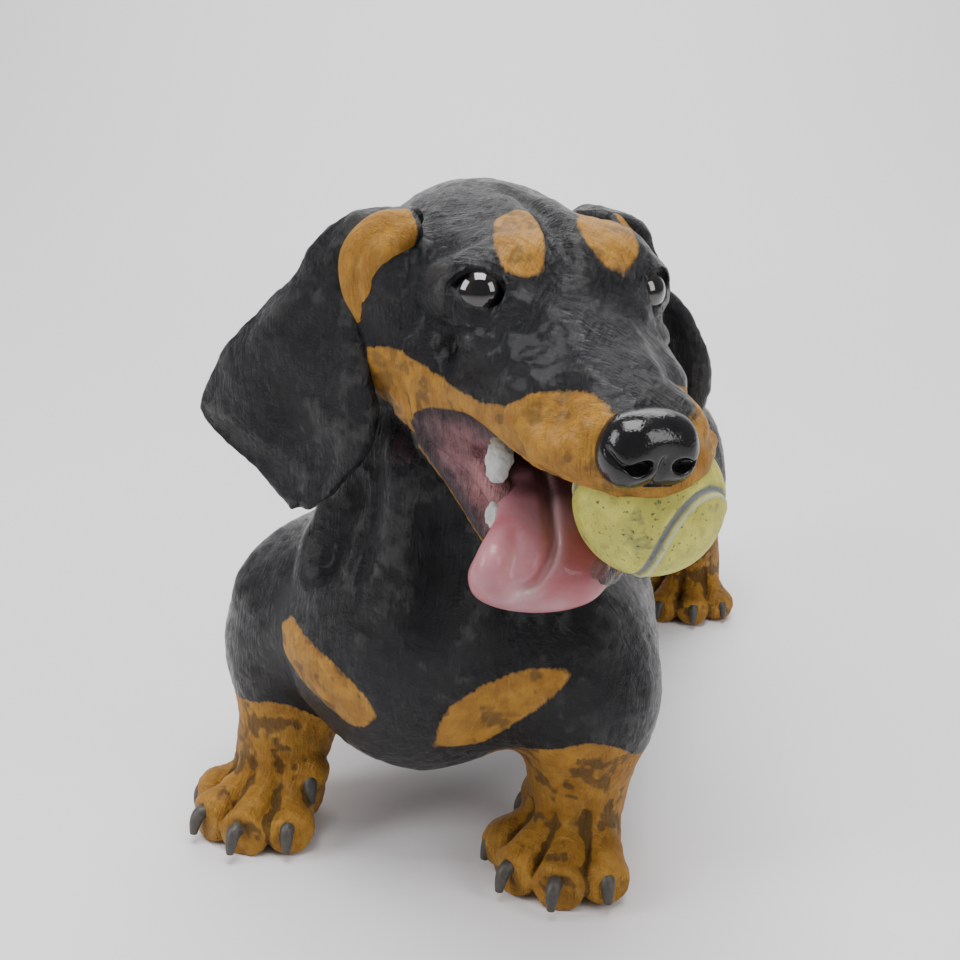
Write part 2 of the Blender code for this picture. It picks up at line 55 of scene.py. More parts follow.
def middle(node):
    """The middle of a CAD node's box, in millimetres."""
    low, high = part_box(node)
    return (np.array(low) + np.array(high)) * 0.5 / MM


# The head's own frame: origin in the skull, +X to the dog's left, -Y out along the muzzle, +Z up.
EYE_LOCAL = np.array([0.0, -46.0, 26.0])
BALL_LOCAL = np.array([17.0, -126.0, -42.0])
eye_gap = middle("left_eye") - middle("right_eye")
head_x = eye_gap / np.linalg.norm(eye_gap)
between_eyes = (middle("left_eye") + middle("right_eye")) / 2
ball_away = middle("ball") - between_eyes - BALL_LOCAL[0] * head_x
ball_away /= np.linalg.norm(ball_away)
ball_side = np.cross(head_x, ball_away)
away_y, away_z = (BALL_LOCAL - EYE_LOCAL)[1:] / np.linalg.norm((BALL_LOCAL - EYE_LOCAL)[1:])
head_y = away_y * ball_away - away_z * ball_side
head_z = away_z * ball_away + away_y * ball_side
HEAD_TURN = np.column_stack([head_x, head_y, head_z])
HEAD_AT = between_eyes - HEAD_TURN @ EYE_LOCAL
# The body's frame: origin on the ground under the chest's front, the dog facing -Y.
BODY_TURN = np.eye(3)
BODY_AT = HEAD_AT - np.array([50.0, 40.0, 316.0])
BODY_AT[2] = 0.0


def in_world(place, turn=BODY_TURN, at=BODY_AT):
    return (np.asarray(turn) @ np.asarray(place, float) + at) * MM


def look_along(obj, azimuth, pitch):
    obj.rotation_euler = Euler((math.radians(90 - pitch), 0, math.radians(azimuth)), "XYZ")


camera = bpy.data.objects.new("camera", bpy.data.cameras.new("camera"))
bpy.context.collection.objects.link(camera)
camera.location = in_world((293.6, -600.3, 462.0))
look_along(camera, 22.0, 19.0)
camera.data.lens = 52.5
camera.data.sensor_width = 36.0
camera.data.clip_end = 50.0
bpy.context.scene.camera = camera


def add(tree, kind, settings=None, **inputs):
    """A node of this kind, with its settings and its inputs, which are values or other nodes' outputs."""
    made = tree.nodes.new(kind)
    for name, value in (settings or {}).items():
        setattr(made, name, value)
    for name, value in inputs.items():
        key = int(name[1:]) if name[0] == "_" else name.replace("__", " ")
        if isinstance(value, bpy.types.NodeSocket):
            tree.links.new(value, made.inputs[key])
        else:
            made.inputs[key].default_value = value
    return made


def finish(name):
    """A new material, its node tree and its Principled shader."""
    made = bpy.data.materials.new(name)
    made.use_nodes = True
    return made, made.node_tree, made.node_tree.nodes["Principled BSDF"]


def sweep():
    half, back, rise, bend = 4.0, 3.2, 4.0, 1.2
    profile = [(-5.0, 0.0), (back - bend, 0.0)]
    for i in range(1, 16):
        angle = math.pi / 2 * i / 15
        profile.append((back - bend + bend * math.sin(angle), bend - bend * math.cos(angle)))
    profile.append((back, rise))
    mesh = bpy.data.meshes.new("sweep")
    corners = [(x, y, z) for y, z in profile for x in (-half, half)]
    faces = [(2 * i, 2 * i + 1, 2 * i + 3, 2 * i + 2) for i in range(len(profile) - 1)]
    # The sweep stands square behind the dog as the camera sees it.
    turn = Matrix.Rotation(math.radians(22), 4, "Z")
    mesh.from_pydata([turn @ Vector(c) for c in corners], [], faces)
    mesh.polygons.foreach_set("use_smooth", [True] * len(mesh.polygons))
    paper, tree, shader = finish("paper")
    fibre = add(tree, "ShaderNodeTexNoise", Scale=3.0, Detail=3.0)
    tone = add(tree, "ShaderNodeMix", {"data_type": "RGBA"}, Factor=fibre.outputs["Fac"])
    tone.inputs[6].default_value = (0.76, 0.745, 0.75, 1)
    tone.inputs[7].default_value = (0.79, 0.775, 0.78, 1)
    tree.links.new(tone.outputs[2], shader.inputs["Base Color"])
    shader.inputs["Roughness"].default_value = 0.9
    shader.inputs["Specular IOR Level"].default_value = 0.1
    mesh.materials.append(paper)
    obj = bpy.data.objects.new("sweep", mesh)
    bpy.context.collection.objects.link(obj)


sweep()


def soft_box(name, place, target, size, power, colour=(1, 1, 1)):
    lamp = bpy.data.lights.new(name, "AREA")
    lamp.shape = "RECTANGLE"
    lamp.size, lamp.size_y = size
    lamp.energy = power
    lamp.color = colour
    obj = bpy.data.objects.new(name, lamp)
    obj.location = place
    obj.rotation_euler = (Vector(target) - Vector(place)).to_track_quat("-Z", "Y").to_euler()
    bpy.context.collection.objects.link(obj)


soft_box("top_box", (0.1, -0.4, 1.9), (0, -0.1, 0.2), (1.1, 1.1), 44)
soft_box("left_box", (-1.5, -1.3, 1.2), (0, -0.1, 0.2), (0.8, 1.2), 27)
soft_box("right_box", (1.7, -0.6, 1.1), (0, 0, 0.2), (0.7, 1.2), 15)
soft_box("back_box", (-0.9, 2.2, 2.3), (-0.9, 2.5, 0), (3.2, 2.4), 110)
world = bpy.data.worlds.new("studio")
world.use_nodes = True
world.node_tree.nodes["Background"].inputs[0].default_value = (0.80, 0.79, 0.82, 1)
world.node_tree.nodes["Background"].inputs[1].default_value = 0.28
bpy.context.scene.world = world


# ---------------------------------------------------------------- trunk
# Chest, barrel, rump and neck are one hollow form of fine stoneware, coiled up, smoothed and scraped.
# The sculptor drew tendons down the neck, then brushed on black glaze and two tan chest patches.


def smooth_path(points, steps=6):
    """More points on a curve through these, whose columns may hold radii too."""
    points = np.asarray(points, float)
    ends = np.vstack([2 * points[0] - points[1], points, 2 * points[-1] - points[-2]])
    made = []
    for i in range(1, len(points)):
        a, b, c, d = ends[i - 1 : i + 3]
        for t in np.arange(steps) / steps:
            made.append(0.5 * (2 * b + (c - a) * t + (2 * a - 5 * b + 4 * c - d) * t**2
                               + (3 * b - a - 3 * c + d) * t**3))
    return np.array(made + [points[-1]])


def corners_of(low, high):
    return np.array(list(itertools.product(*zip(low, high))), float)


class Clay:
    """Soft clay as a grid of distances to its skin, in millimetres.

    Lumps are joined on and grooves pressed in.
    """

    FAR = 24.0
    MARGIN = 18.0

    def __init__(self, low, high, grain, turn=BODY_TURN, at=BODY_AT):
        self.grain = grain
        corners = corners_of(low, high) @ np.asarray(turn).T + at
        first = np.floor(corners.min(0) / grain).astype(int)
        last = np.ceil(corners.max(0) / grain).astype(int)
        self.lines = [np.arange(f, l + 1, dtype=np.float32) * np.float32(grain) for f, l in zip(first, last)]
        self.field = np.full([len(line) for line in self.lines], self.FAR, np.float32)
        self.work_in(turn, at)

    def work_in(self, turn, at):
        self.turn, self.at = np.asarray(turn, np.float32), np.asarray(at, np.float32)
        return self

    def near(self, low, high):
        """The part of the grid round this box of the present frame, and its points in that frame."""
        box = corners_of(low, high) @ self.turn.T + self.at
        ends = zip(box.min(0), box.max(0))
        cut = tuple(slice(*np.searchsorted(line, pair)) for line, pair in zip(self.lines, ends))
        if min(c.stop - c.start for c in cut) < 1:
            return None, None
        x, y, z = (self.lines[k][cut[k]] - self.at[k] for k in range(3))
        x, y, z = x[:, None, None], y[None, :, None], z[None, None, :]
        return cut, [self.turn[0, c] * x + self.turn[1, c] * y + self.turn[2, c] * z for c in range(3)]

    def join(self, cut, distance, blend):
        old = self.field[cut]
        soft = np.maximum(blend - np.abs(old - distance), 0)
        self.field[cut] = np.minimum(old, distance) - soft * soft / (4 * blend)

    def carve(self, cut, distance, blend):
        old = self.field[cut]
        soft = np.maximum(blend - np.abs(old + distance), 0)
        self.field[cut] = np.maximum(old, -distance) + soft * soft / (4 * blend)

    def lump(self, centre, radii, tilt=(0, 0, 0), blend=10.0, carve=False):
        """An egg of clay, turned by tilt in degrees about X, Y and Z."""
        centre, radii = np.asarray(centre, float), np.asarray(radii, float)
        reach = (radii.max() if any(tilt) else radii) + self.MARGIN
        cut, place = self.near(centre - reach, centre + reach)
        if cut is None:
            return
        turn = np.array(Euler([math.radians(a) for a in tilt], "XYZ").to_matrix(), np.float32)
        p = [place[k] - np.float32(centre[k]) for k in range(3)]
        inner = outer = 0
        for k in range(3):
            q = (turn[0, k] * p[0] + turn[1, k] * p[1] + turn[2, k] * p[2]) / np.float32(radii[k])
            inner = inner + q * q
            outer = outer + (q / np.float32(radii[k])) ** 2
        inner, outer = np.sqrt(inner), np.sqrt(outer)
        (self.carve if carve else self.join)(cut, inner * (inner - 1) / np.maximum(outer, 1e-5), blend)

    def along(self, path, width, flatten=None):
        """The grid near a path.

        For each of its points it gives the least distance, the share of the way, and the
        path's fourth column there.
        """
        path = np.asarray(path, float)
        reach = width + self.MARGIN
        cut, place = self.near(path[:, :3].min(0) - reach, path[:, :3].max(0) + reach)
        if cut is None:
            return None, None, None, None
        best = np.full(place[0].shape, 1e9, np.float32)
        share, extra = np.zeros_like(best), np.zeros_like(best)
        flat = None if flatten is None else np.asarray(flatten, np.float32) / np.linalg.norm(flatten)
        count = len(path) - 1
        for i, (a, b) in enumerate(zip(path[:-1], path[1:])):
            step = (b - a)[:3].astype(np.float32)
            p = [place[k] - np.float32(a[k]) for k in range(3)]
            if flat is not None:
                deep = sum(p[k] * flat[k] for k in range(3))
                p = [p[k] - deep * flat[k] for k in range(3)]
                step = step - (step @ flat) * flat
            t = np.clip(sum(p[k] * step[k] for k in range(3)) / max(step @ step, 1e-6), 0, 1)
            gone = np.sqrt(sum((p[k] - t * step[k]) ** 2 for k in range(3)))
            if flat is not None:
                gone = gone + np.maximum(np.abs(deep) - 14, 0)
            value = a[3] + t * (b[3] - a[3])
            rank = gone - value if flat is None and width > 0 and path.shape[1] > 4 else gone
            closer = rank < best
            best = np.where(closer, rank, best)
            share = np.where(closer, (i + t) / count, share)
            extra = np.where(closer, value, extra)
        return cut, best, share, extra

    def coil(self, points, radii, blend=10.0, steps=5, carve=False):
        """A coil of clay through these points, as thick as radii at each."""
        path = smooth_path(np.column_stack([points, radii, np.zeros(len(points))]), steps)
        cut, distance, _, _ = self.along(path, max(radii))
        if cut is not None:
            (self.carve if carve else self.join)(cut, distance, blend)

    def press(self, points, width, depth, flatten=None, fade=0.15, steps=4):
        """A groove drawn along a path, or a raised seam where depth is negative. It runs out at both ends."""
        path = smooth_path(np.column_stack([points, np.ones(len(points))]), steps)
        cut, gone, share, _ = self.along(path, 2 * width - self.MARGIN, flatten)
        if cut is None:
            return
        ends = np.clip(np.minimum(share, 1 - share) / max(fade, 1e-3), 0, 1) if fade else 1
        self.field[cut] += np.float32(depth) * ends * np.exp(-((gone / np.float32(width)) ** 2))

    def part(self, beyond, lap=10.0):
        """Cuts away what lies beyond a seam, but for a thin tongue under the neighbour."""
        thinned = self.field + 0.004 * np.maximum(beyond, 0) ** 2
        self.field = np.maximum(thinned, beyond - lap).astype(np.float32)

    def everywhere(self, turn, at):
        x, y, z = (self.lines[k] - np.float32(at[k]) for k in range(3))
        x, y, z = x[:, None, None], y[None, :, None], z[None, None, :]
        turn = np.asarray(turn, np.float32)
        return [turn[0, c] * x + turn[1, c] * y + turn[2, c] * z for c in range(3)]

    def skin(self):
        """The skin's points, in millimetres in the world, and its faces."""
        grid = openvdb.FloatGrid(self.FAR)
        grid.copyFromArray(np.ascontiguousarray(self.field))
        points, fours = grid.convertToQuads(isovalue=0.0)
        first = np.array([line[0] for line in self.lines])
        return points.astype(np.float64) * self.grain + first, fours.astype(np.int64)


def whole(points, faces):
    """Only the largest connected skin, facing outwards."""
    label = np.arange(len(points))
    while True:
        least = label[faces].min(1)
        new = label.copy()
        np.minimum.at(new, faces.ravel(), np.repeat(least, faces.shape[1]))
        new = new[new]
        if (new == label).all():
            break
        label = new
    names, counts = np.unique(label, return_counts=True)
    keep = label == names[counts.argmax()]
    order = np.cumsum(keep) - 1
    faces = order[faces[keep[faces[:, 0]]]]
    points = points[keep]
    a, b, c = points[faces[:, 0]], points[faces[:, 1]], points[faces[:, 2]]
    d = points[faces[:, 3]]
    volume = (np.einsum("ij,ij->i", a, np.cross(b, c)) + np.einsum("ij,ij->i", a, np.cross(c, d))).sum()
    return points, faces if volume > 0 else faces[:, ::-1]


def relief_of(points, faces, rounds=6):
    """How far each point stands above the skin round it: ridges are above 0 and grooves below."""
    ends = np.concatenate([faces[:, [0, 1]], faces[:, [1, 2]], faces[:, [2, 3]], faces[:, [3, 0]]])
    count = np.bincount(ends[:, 0], minlength=len(points)) + np.bincount(ends[:, 1], minlength=len(points))
    soft = points.copy()
    for _ in range(rounds):
        moved = np.zeros_like(soft)
        for k in range(3):
            moved[:, k] = np.bincount(ends[:, 0], soft[ends[:, 1], k], len(points))
            moved[:, k] += np.bincount(ends[:, 1], soft[ends[:, 0], k], len(points))
        soft = moved / count[:, None]
    normal = np.zeros_like(points)
    across = np.cross(points[faces[:, 2]] - points[faces[:, 0]], points[faces[:, 3]] - points[faces[:, 1]])
    for k in range(4):
        np.add.at(normal, faces[:, k], across)
    normal /= np.maximum(np.linalg.norm(normal, axis=1), 1e-9)[:, None]
    return ((points - soft) * normal).sum(1), normal


def lumpy(points, size, seed):
    """Smooth random heights from -1 to 1, in lumps about this many millimetres across."""
    table = np.random.default_rng(seed).uniform(-1, 1, (48, 48, 48))
    cell = np.floor(points / size).astype(int)
    part = points / size - cell
    part = part * part * (3 - 2 * part)
    total = np.zeros(len(points))
    for corner in itertools.product((0, 1), repeat=3):
        weight = np.where(corner, part, 1 - part).prod(axis=1)
        total += weight * table[tuple(((cell + corner) % 48).T)]
    return total


def worked(points, normal, amount=1.0):
    """Clay as fingers and a scraper leave it: the moved points, and how far the small marks stand out."""
    small = 0.50 * lumpy(points, 9.0, 5) + 0.34 * lumpy(points, 4.0, 6) + 0.20 * lumpy(points, 2.2, 7)
    broad = 1.0 * lumpy(points, 27.0, 4)
    return points + normal * (amount * (small + broad))[:, None], amount * small


def piece(name, points, faces, material, slot, replaced, **paint):
    """A finished piece: its mesh and its painted values, hung under the root body, with the CAD nodes it
    replaces hidden.
    """
    mesh = bpy.data.meshes.new(name)
    mesh.from_pydata(points * MM, [], faces)
    mesh.polygons.foreach_set("use_smooth", np.ones(len(mesh.polygons), bool))
    for label, values in paint.items():
        layer = mesh.attributes.new(label, "FLOAT", "POINT")
        layer.data.foreach_set("value", np.asarray(values, np.float32))
    mesh.materials.append(material)
    mesh.update()
    obj = bpy.data.objects.new(name, mesh)
    bpy.context.collection.objects.link(obj)
    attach(obj, "root")
    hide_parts(*replaced)
    return obj


def inside(u, v, outline):
    """Distance inside a closed smooth outline, in millimetres, and below 0 outside it."""
    outline = np.asarray(outline, float)
    ring = smooth_path(np.vstack([outline, outline[:1]]), 5)[:-1]
    best = np.full(len(u), 1e9)
    within = np.zeros(len(u), bool)
    for (ax, ay), (bx, by) in zip(ring, np.roll(ring, -1, axis=0)):
        sx, sy = bx - ax, by - ay
        t = np.clip(((u - ax) * sx + (v - ay) * sy) / max(sx * sx + sy * sy, 1e-9), 0, 1)
        best = np.minimum(best, np.hypot(u - ax - t * sx, v - ay - t * sy))
        crosses = (ay > v) != (by > v)
        within ^= crosses & (u < ax + (v - ay) * sx / (sy if abs(sy) > 1e-9 else 1e-9))
    return np.where(within, best, -best)


def brushed_glaze_group():
    """Black glaze brushed over clay, tan stain inside its painted edges, and raw mouth clay, with painted
    highlights on ridges of the black and painted shade in grooves of the tan.
    """
    group = bpy.data.node_groups.new("brushed glaze", "ShaderNodeTree")
    face = group.interface
    for name, low in (("Tan", -12.0), ("Mouth", -12.0), ("Relief", 0.0), ("Wet", 0.0), ("Crease Dirt And Shade", 0.5)):
        face.new_socket(name, in_out="INPUT", socket_type="NodeSocketFloat").default_value = low
    for name, kind in (("Colour", "Color"), ("Roughness", "Float"), ("Height", "Float")):
        face.new_socket(name, in_out="OUTPUT", socket_type="NodeSocket" + kind)
    given = group.nodes.new("NodeGroupInput").outputs
    result = group.nodes.new("NodeGroupOutput").inputs
    place = add(group, "ShaderNodeTexCoord").outputs["Object"]

    def noise(scale, detail=4.0, rough=0.6, stretch=None, twist=0.0):
        where = place
        if stretch:
            turned = add(group, "ShaderNodeMapping", Vector=place, Scale=stretch, Rotation=(0.4, 0.3, twist))
            where = turned.outputs[0]
        return add(group, "ShaderNodeTexNoise", Vector=where, Scale=scale, Detail=detail,
                   Roughness=rough).outputs[0]

    def sum_of(a, b, operation="ADD"):
        return add(group, "ShaderNodeMath", {"operation": operation}, _0=a, _1=b).outputs[0]

    def band(value, low, high):
        return add(group, "ShaderNodeMapRange", {"interpolation_type": "SMOOTHSTEP"},
                   Value=value, _1=low, _2=high, _3=0.0, _4=1.0).outputs[0]

    def mix(factor, a, b):
        made = add(group, "ShaderNodeMix", {"data_type": "RGBA"}, Factor=factor)
        for socket, value in ((made.inputs[6], a), (made.inputs[7], b)):
            if isinstance(value, tuple):
                socket.default_value = (*value, 1.0)
            else:
                group.links.new(value, socket)
        return made.outputs[2]

    blotch = noise(16.0, 5.0, 0.65)
    cloud = noise(75.0, 6.0, 0.65)
    streak = noise(520.0, 4.0, 0.62, (1.0, 0.15, 0.15), 0.5)
    cross = noise(480.0, 4.0, 0.62, (0.16, 1.0, 0.2), 0.9)
    grit = noise(900.0, 3.0, 0.7)
    strokes = sum_of(streak, cross, "MAXIMUM")

    black = mix(band(blotch, 0.35, 0.65), (0.0030, 0.0034, 0.0042), (0.0065, 0.0072, 0.0092))
    black = mix(sum_of(band(streak, 0.54, 0.74), 0.5, "MULTIPLY"), black, (0.022, 0.024, 0.029))
    dusty = sum_of(band(cloud, 0.50, 0.75), band(grit, 0.52, 0.66), "MULTIPLY")
    black = mix(sum_of(dusty, 0.06, "MULTIPLY"), black, (0.085, 0.083, 0.080))
    # Ridges of the black glaze are painted lighter: partly rubbed wear, partly painted highlight.
    ridge_wear_and_highlight = sum_of(sum_of(given["Relief"], 1.8, "MULTIPLY"), sum_of(strokes, 0.55, "SUBTRACT"))
    black = mix(sum_of(band(ridge_wear_and_highlight, 0.45, 1.4), 0.22, "MULTIPLY"), black, (0.10, 0.096, 0.088))

    tan = mix(band(cloud, 0.35, 0.68), (0.28, 0.125, 0.014), (0.44, 0.215, 0.026))
    tan = mix(sum_of(band(cross, 0.5, 0.75), 0.45, "MULTIPLY"), tan, (0.52, 0.30, 0.075))
    stained = sum_of(band(blotch, 0.50, 0.72), band(streak, 0.42, 0.62), "MULTIPLY")
    tan = mix(sum_of(stained, 0.55, "MULTIPLY"), tan, (0.10, 0.062, 0.026))
    # Grooves and creases in the tan are painted dark brown: partly a dirty wash, partly painted shade.
    sunken = sum_of(sum_of(given["Relief"], -3.0, "MULTIPLY"), sum_of(cloud, 0.55, "SUBTRACT"))
    groove = band(sunken, 0.0, 0.8)
    tan = mix(sum_of(groove, given["Crease Dirt And Shade"], "MULTIPLY"), tan, (0.060, 0.036, 0.014))
    tan = mix(sum_of(band(grit, 0.66, 0.76), 0.5, "MULTIPLY"), tan, (0.62, 0.46, 0.26))

    uneven = sum_of(cloud, 0.5, "SUBTRACT")
    ragged = sum_of(sum_of(sum_of(streak, 0.5, "SUBTRACT"), 3.5, "MULTIPLY"),
                    sum_of(uneven, 4.0, "MULTIPLY"))
    tan_mask = band(sum_of(given["Tan"], ragged), -0.9, 1.1)
    colour = mix(tan_mask, black, tan)

    mouth = mix(band(sum_of(given["Mouth"], sum_of(uneven, 18.0, "MULTIPLY")), 2.0, 20.0),
                (0.030, 0.016, 0.020), (0.42, 0.19, 0.20))
    mouth = mix(sum_of(band(streak, 0.5, 0.7), 0.35, "MULTIPLY"), mouth, (0.12, 0.075, 0.085))
    mouth_mask = band(sum_of(given["Mouth"], sum_of(uneven, 2.0, "MULTIPLY")), -0.6, 0.8)
    colour = mix(mouth_mask, colour, mouth)
    group.links.new(colour, result["Colour"])

    black_rough = add(group, "ShaderNodeMapRange", Value=sum_of(cloud, sum_of(strokes, 0.6, "MULTIPLY")),
                      _1=0.5, _2=1.15, _3=0.11, _4=0.27).outputs[0]
    black_rough = sum_of(black_rough, sum_of(given["Wet"], 0.16, "MULTIPLY"), "SUBTRACT")
    rough = add(group, "ShaderNodeMix", Factor=tan_mask, A=black_rough, B=0.58).outputs[0]
    rough = add(group, "ShaderNodeMix", Factor=mouth_mask, A=rough, B=0.36).outputs[0]
    group.links.new(sum_of(rough, 0.06, "MAXIMUM"), result["Roughness"])

    height = sum_of(sum_of(streak, 0.9, "MULTIPLY"), sum_of(cross, 0.8, "MULTIPLY"))
    height = sum_of(height, sum_of(cloud, 0.15, "MULTIPLY"))
    height = sum_of(height, sum_of(grit, 0.4, "MULTIPLY"))
    group.links.new(height, result["Height"])
    return group


BRUSHED_GLAZE = brushed_glaze_group()


def read(tree, label):
    return add(tree, "ShaderNodeAttribute", {"attribute_name": label}).outputs["Fac"]


def painted(name, crease_dirt_and_shade=0.6, coat=0.08, relief=0.9):
    """The figurine's painted skin. Its edges and grooves come from the values painted on each piece."""
    made, tree, shader = finish(name)
    group = add(tree, "ShaderNodeGroup", {"node_tree": BRUSHED_GLAZE})
    for label in ("Tan", "Mouth", "Relief", "Wet"):
        tree.links.new(read(tree, label.lower()), group.inputs[label])
    group.inputs["Crease Dirt And Shade"].default_value = crease_dirt_and_shade
    bump = add(tree, "ShaderNodeBump", Strength=relief, Distance=0.0036, Height=group.outputs["Height"])
    tree.links.new(group.outputs["Colour"], shader.inputs["Base Color"])
    tree.links.new(group.outputs["Roughness"], shader.inputs["Roughness"])
    tree.links.new(bump.outputs[0], shader.inputs["Normal"])
    shader.inputs["Coat Weight"].default_value = coat
    shader.inputs["Coat Roughness"].default_value = 0.2
    shader.inputs["Specular IOR Level"].default_value = 0.24
    return made


LEGS = {
    "right_front": dict(heel=(-92, 20), turn=-18, top=(-80, 48, 104), size=1.0, side=-1),
    "left_front": dict(heel=(86, 38), turn=-10, top=(94, 54, 104), size=1.0, side=1),
    "right_hind": dict(heel=(-64, 412), turn=-8, top=(-56, 400, 100), size=0.88, side=-1),
    "left_hind": dict(heel=(60, 412), turn=4, top=(56, 400, 100), size=0.88, side=1),
}
CHEST_Z, BARREL_Z, CHEST_Y, RUMP_Y = 128.0, 134.0, 65.0, 395.0


def head_point(place):
    """A place of the head's frame, in the body's frame."""
    return HEAD_TURN @ np.asarray(place, float) + HEAD_AT - BODY_AT


def body_form(clay):
    """Everything from the rump to the top of the neck, and the stumps that the legs grow from."""
    clay.work_in(BODY_TURN, BODY_AT)
    clay.lump((0, CHEST_Y, CHEST_Z + 4), (95, 92, 76))
    clay.lump((0, CHEST_Y - 4, CHEST_Z - 6), (56, 84, 74), blend=16)
    clay.coil([(0, 85, BARREL_Z), (0, 230, BARREL_Z + 2), (0, RUMP_Y, BARREL_Z)], [83, 78, 73], 16)
    clay.lump((0, RUMP_Y - 4, BARREL_Z - 2), (76, 80, 70), blend=16)
    clay.coil([(4, 52, CHEST_Z + 42), head_point((0, 38, -34))], [68, 50], 16, steps=3)
    for side in (-1, 1):
        clay.lump((side * 84, CHEST_Y, CHEST_Z - 10), (42, 54, 54), (-8, 0, 0), 24)
        clay.lump((side * 70, CHEST_Y + 38, CHEST_Z - 12), (40, 68, 50), blend=22)
        clay.lump((side * 94, CHEST_Y - 12, CHEST_Z - 28), (33, 36, 38), blend=12)
        clay.lump((side * 63, CHEST_Y + 48, CHEST_Z), (37, 70, 48), blend=18)
        clay.lump((side * 54, RUMP_Y - 16, BARREL_Z - 22), (36, 58, 56), blend=16)
    for leg in LEGS.values():
        size = leg["size"]
        wrist = np.array([*leg["heel"], 0]) + np.array([0, 16, 34]) * size
        top = np.array(leg["top"], float)
        clay.coil([wrist, top, top + (top - wrist) * 0.2], [27 * size, 32 * size, 29 * size], 14)
    # The last of the back carries on into the tail.
    clay.coil([(0, 440, 160), (0, 470, 158), (1, 490, 153)], [19, 15, 12.5], 14)
    # Tendons, throat hollows and the blade of the shoulder on each side.
    clay.press([(2, 9, 262), (10, -1, 224), (10, -10, 190), (0, -20, 160)], 9, -8.0)
    clay.press([(-18, 6, 235), (-26, 3, 205), (-34, -4, 170)], 9, 5.5)
    clay.press([(-44, 18, 218), (-52, 12, 190), (-50, 0, 160)], 9, -5.0)
    clay.press([(-6, 4, 240), (-8, -4, 210), (-14, -14, 176)], 5, 3.0)
    clay.press([(-60, 26, 214), (-70, 24, 188), (-72, 14, 160)], 7, 3.6)
    clay.press([(24, 2, 226), (28, -7, 190), (26, -18, 150)], 9, 6.0)
    clay.press([(46, 6, 222), (52, 0, 186), (52, -8, 150)], 10, -4.5)
    for side in (-1, 1):
        clay.press([(side * 98, 60, 190), (side * 112, 40, 165), (side * 106, 22, 135)], 11, -3.5)
        clay.press([(side * 74, 100, 196), (side * 98, 118, 160), (side * 96, 124, 120)], 13, 3.2)
        clay.press([(side * 84, 300, 170), (side * 84, 330, 130), (side * 74, 350, 90)], 14, 3.0)
        clay.press([(side * 70, 430, 170), (side * 82, 400, 140), (side * 78, 372, 100)], 14, -3.0)


def leg_zone(clay):
    """Distance outside the zones that hold the four legs, below the seam where each joins the trunk."""
    x, y, z = clay.everywhere(BODY_TURN, BODY_AT)
    zone = None
    for leg in LEGS.values():
        gone = np.sqrt((x - leg["heel"][0]) ** 2 + (y - leg["heel"][1] - 20) ** 2) - 46
        gone = np.maximum(gone, z - 84)
        zone = gone if zone is None else np.minimum(zone, gone)
    return zone


def head_zone(clay):
    """Distance below the seam between the neck and the head."""
    x, y, z = clay.everywhere(HEAD_TURN, HEAD_AT)
    return -(z * 0.8 - y * 0.35 + 52.0)


def tail_zone(clay):
    x, y, z = clay.everywhere(BODY_TURN, BODY_AT)
    return np.broadcast_to(476.0 - y, clay.field.shape)


def from_body(points):
    return (points - BODY_AT) @ BODY_TURN


def from_head(points):
    return (points - HEAD_AT) @ HEAD_TURN


CHEST_PATCHES = (
    [(-63, 142), (-54, 151), (-44, 148), (-17, 137), (0, 124), (3, 112), (-8, 103), (-22, 107),
     (-44, 118), (-59, 130)],
    [(30, 92), (38, 116), (54, 131), (74, 138), (94, 136), (88, 124), (68, 106), (50, 92)],
)


def body_paint(points):
    """The tan on the chest, the legs and the underside, as a distance inside the painted edge."""
    x, y, z = from_body(points).T
    tan = np.full(len(points), -12.0)
    front = y < 60
    for outline in CHEST_PATCHES:
        tan = np.maximum(tan, np.where(front, inside(x, z, outline), -12))
    for leg in LEGS.values():
        away = np.hypot(x - leg["heel"][0], y - leg["heel"][1] - 20)
        level = 77 + 9 * np.sin(0.055 * (x + y) + leg["side"]) + (10 if leg["turn"] == -10 else 0)
        tan = np.maximum(tan, np.minimum(level - z, np.where(z < 50, 78, 52) - away))
    wet = np.exp(-(((x - 30) / 26) ** 2 + ((z - 195) / 42) ** 2)) * (y < 60)
    return np.clip(tan, -12, 12), np.clip(wet, 0, 1)


def fire(name, clay, material, slot, replaced, mouth=None, extra_tan=None):
    points, faces = whole(*clay.skin())
    relief, normal = relief_of(points, faces)
    points, marks = worked(points, normal)
    # The soles were ground flat on the kiln shelf.
    points[:, 2] = np.maximum(points[:, 2], 0.0)
    relief = relief + marks
    tan, wet = body_paint(points)
    if extra_tan is not None:
        tan = np.maximum(tan, extra_tan(points, normal))
    inner = np.full(len(points), -12.0) if mouth is None else mouth(points, normal)
    return piece(name, points, faces, material, slot, replaced, tan=tan, mouth=inner, relief=relief, wet=wet)


trunk = Clay((-142, -62, 28), (142, 516, 330), 2.3)
body_form(trunk)
trunk.part(-leg_zone(trunk))
trunk.part(-head_zone(trunk))
trunk.part(-tail_zone(trunk))
fire("painted_trunk", trunk, painted("trunk glaze"), "black_glaze", ["trunk_shell"])
del trunk


# ---------------------------------------------------------------- tail
# A tapering coil of the same clay, luted to the rump and left hanging a little.

tail = Clay((-30, 440, 110), (34, 600, 190), 1.3)
body_form(tail)
tail_path = [(0, 452, 162)]
for i in range(1, 7):
    bend = math.radians(-22 + 30 * i / 6)
    last = tail_path[-1]
    tail_path.append((last[0] + 1.3 * i / 6, last[1] + 21.5 * math.cos(bend),
                      last[2] + 21.5 * math.sin(bend)))
tail.coil(tail_path, [16, 15, 13.5, 12, 10, 8, 5.5], 12)
tail.part(tail_zone(tail))
fire("painted_tail", tail, painted("tail glaze"), "black_glaze", ["tail"])


# ---------------------------------------------------------------- legs and paws
# Four short bowed legs, each with four rolled toes. The tan stain is rubbed back, and the grooves
# between the toes and the wrinkles of the wrist are painted dark: partly a dirty wash, partly painted shade.

TOE_FAN = (-36, -12, 12, 36)
TOE_REACH = (0.86, 1.0, 1.0, 0.86)


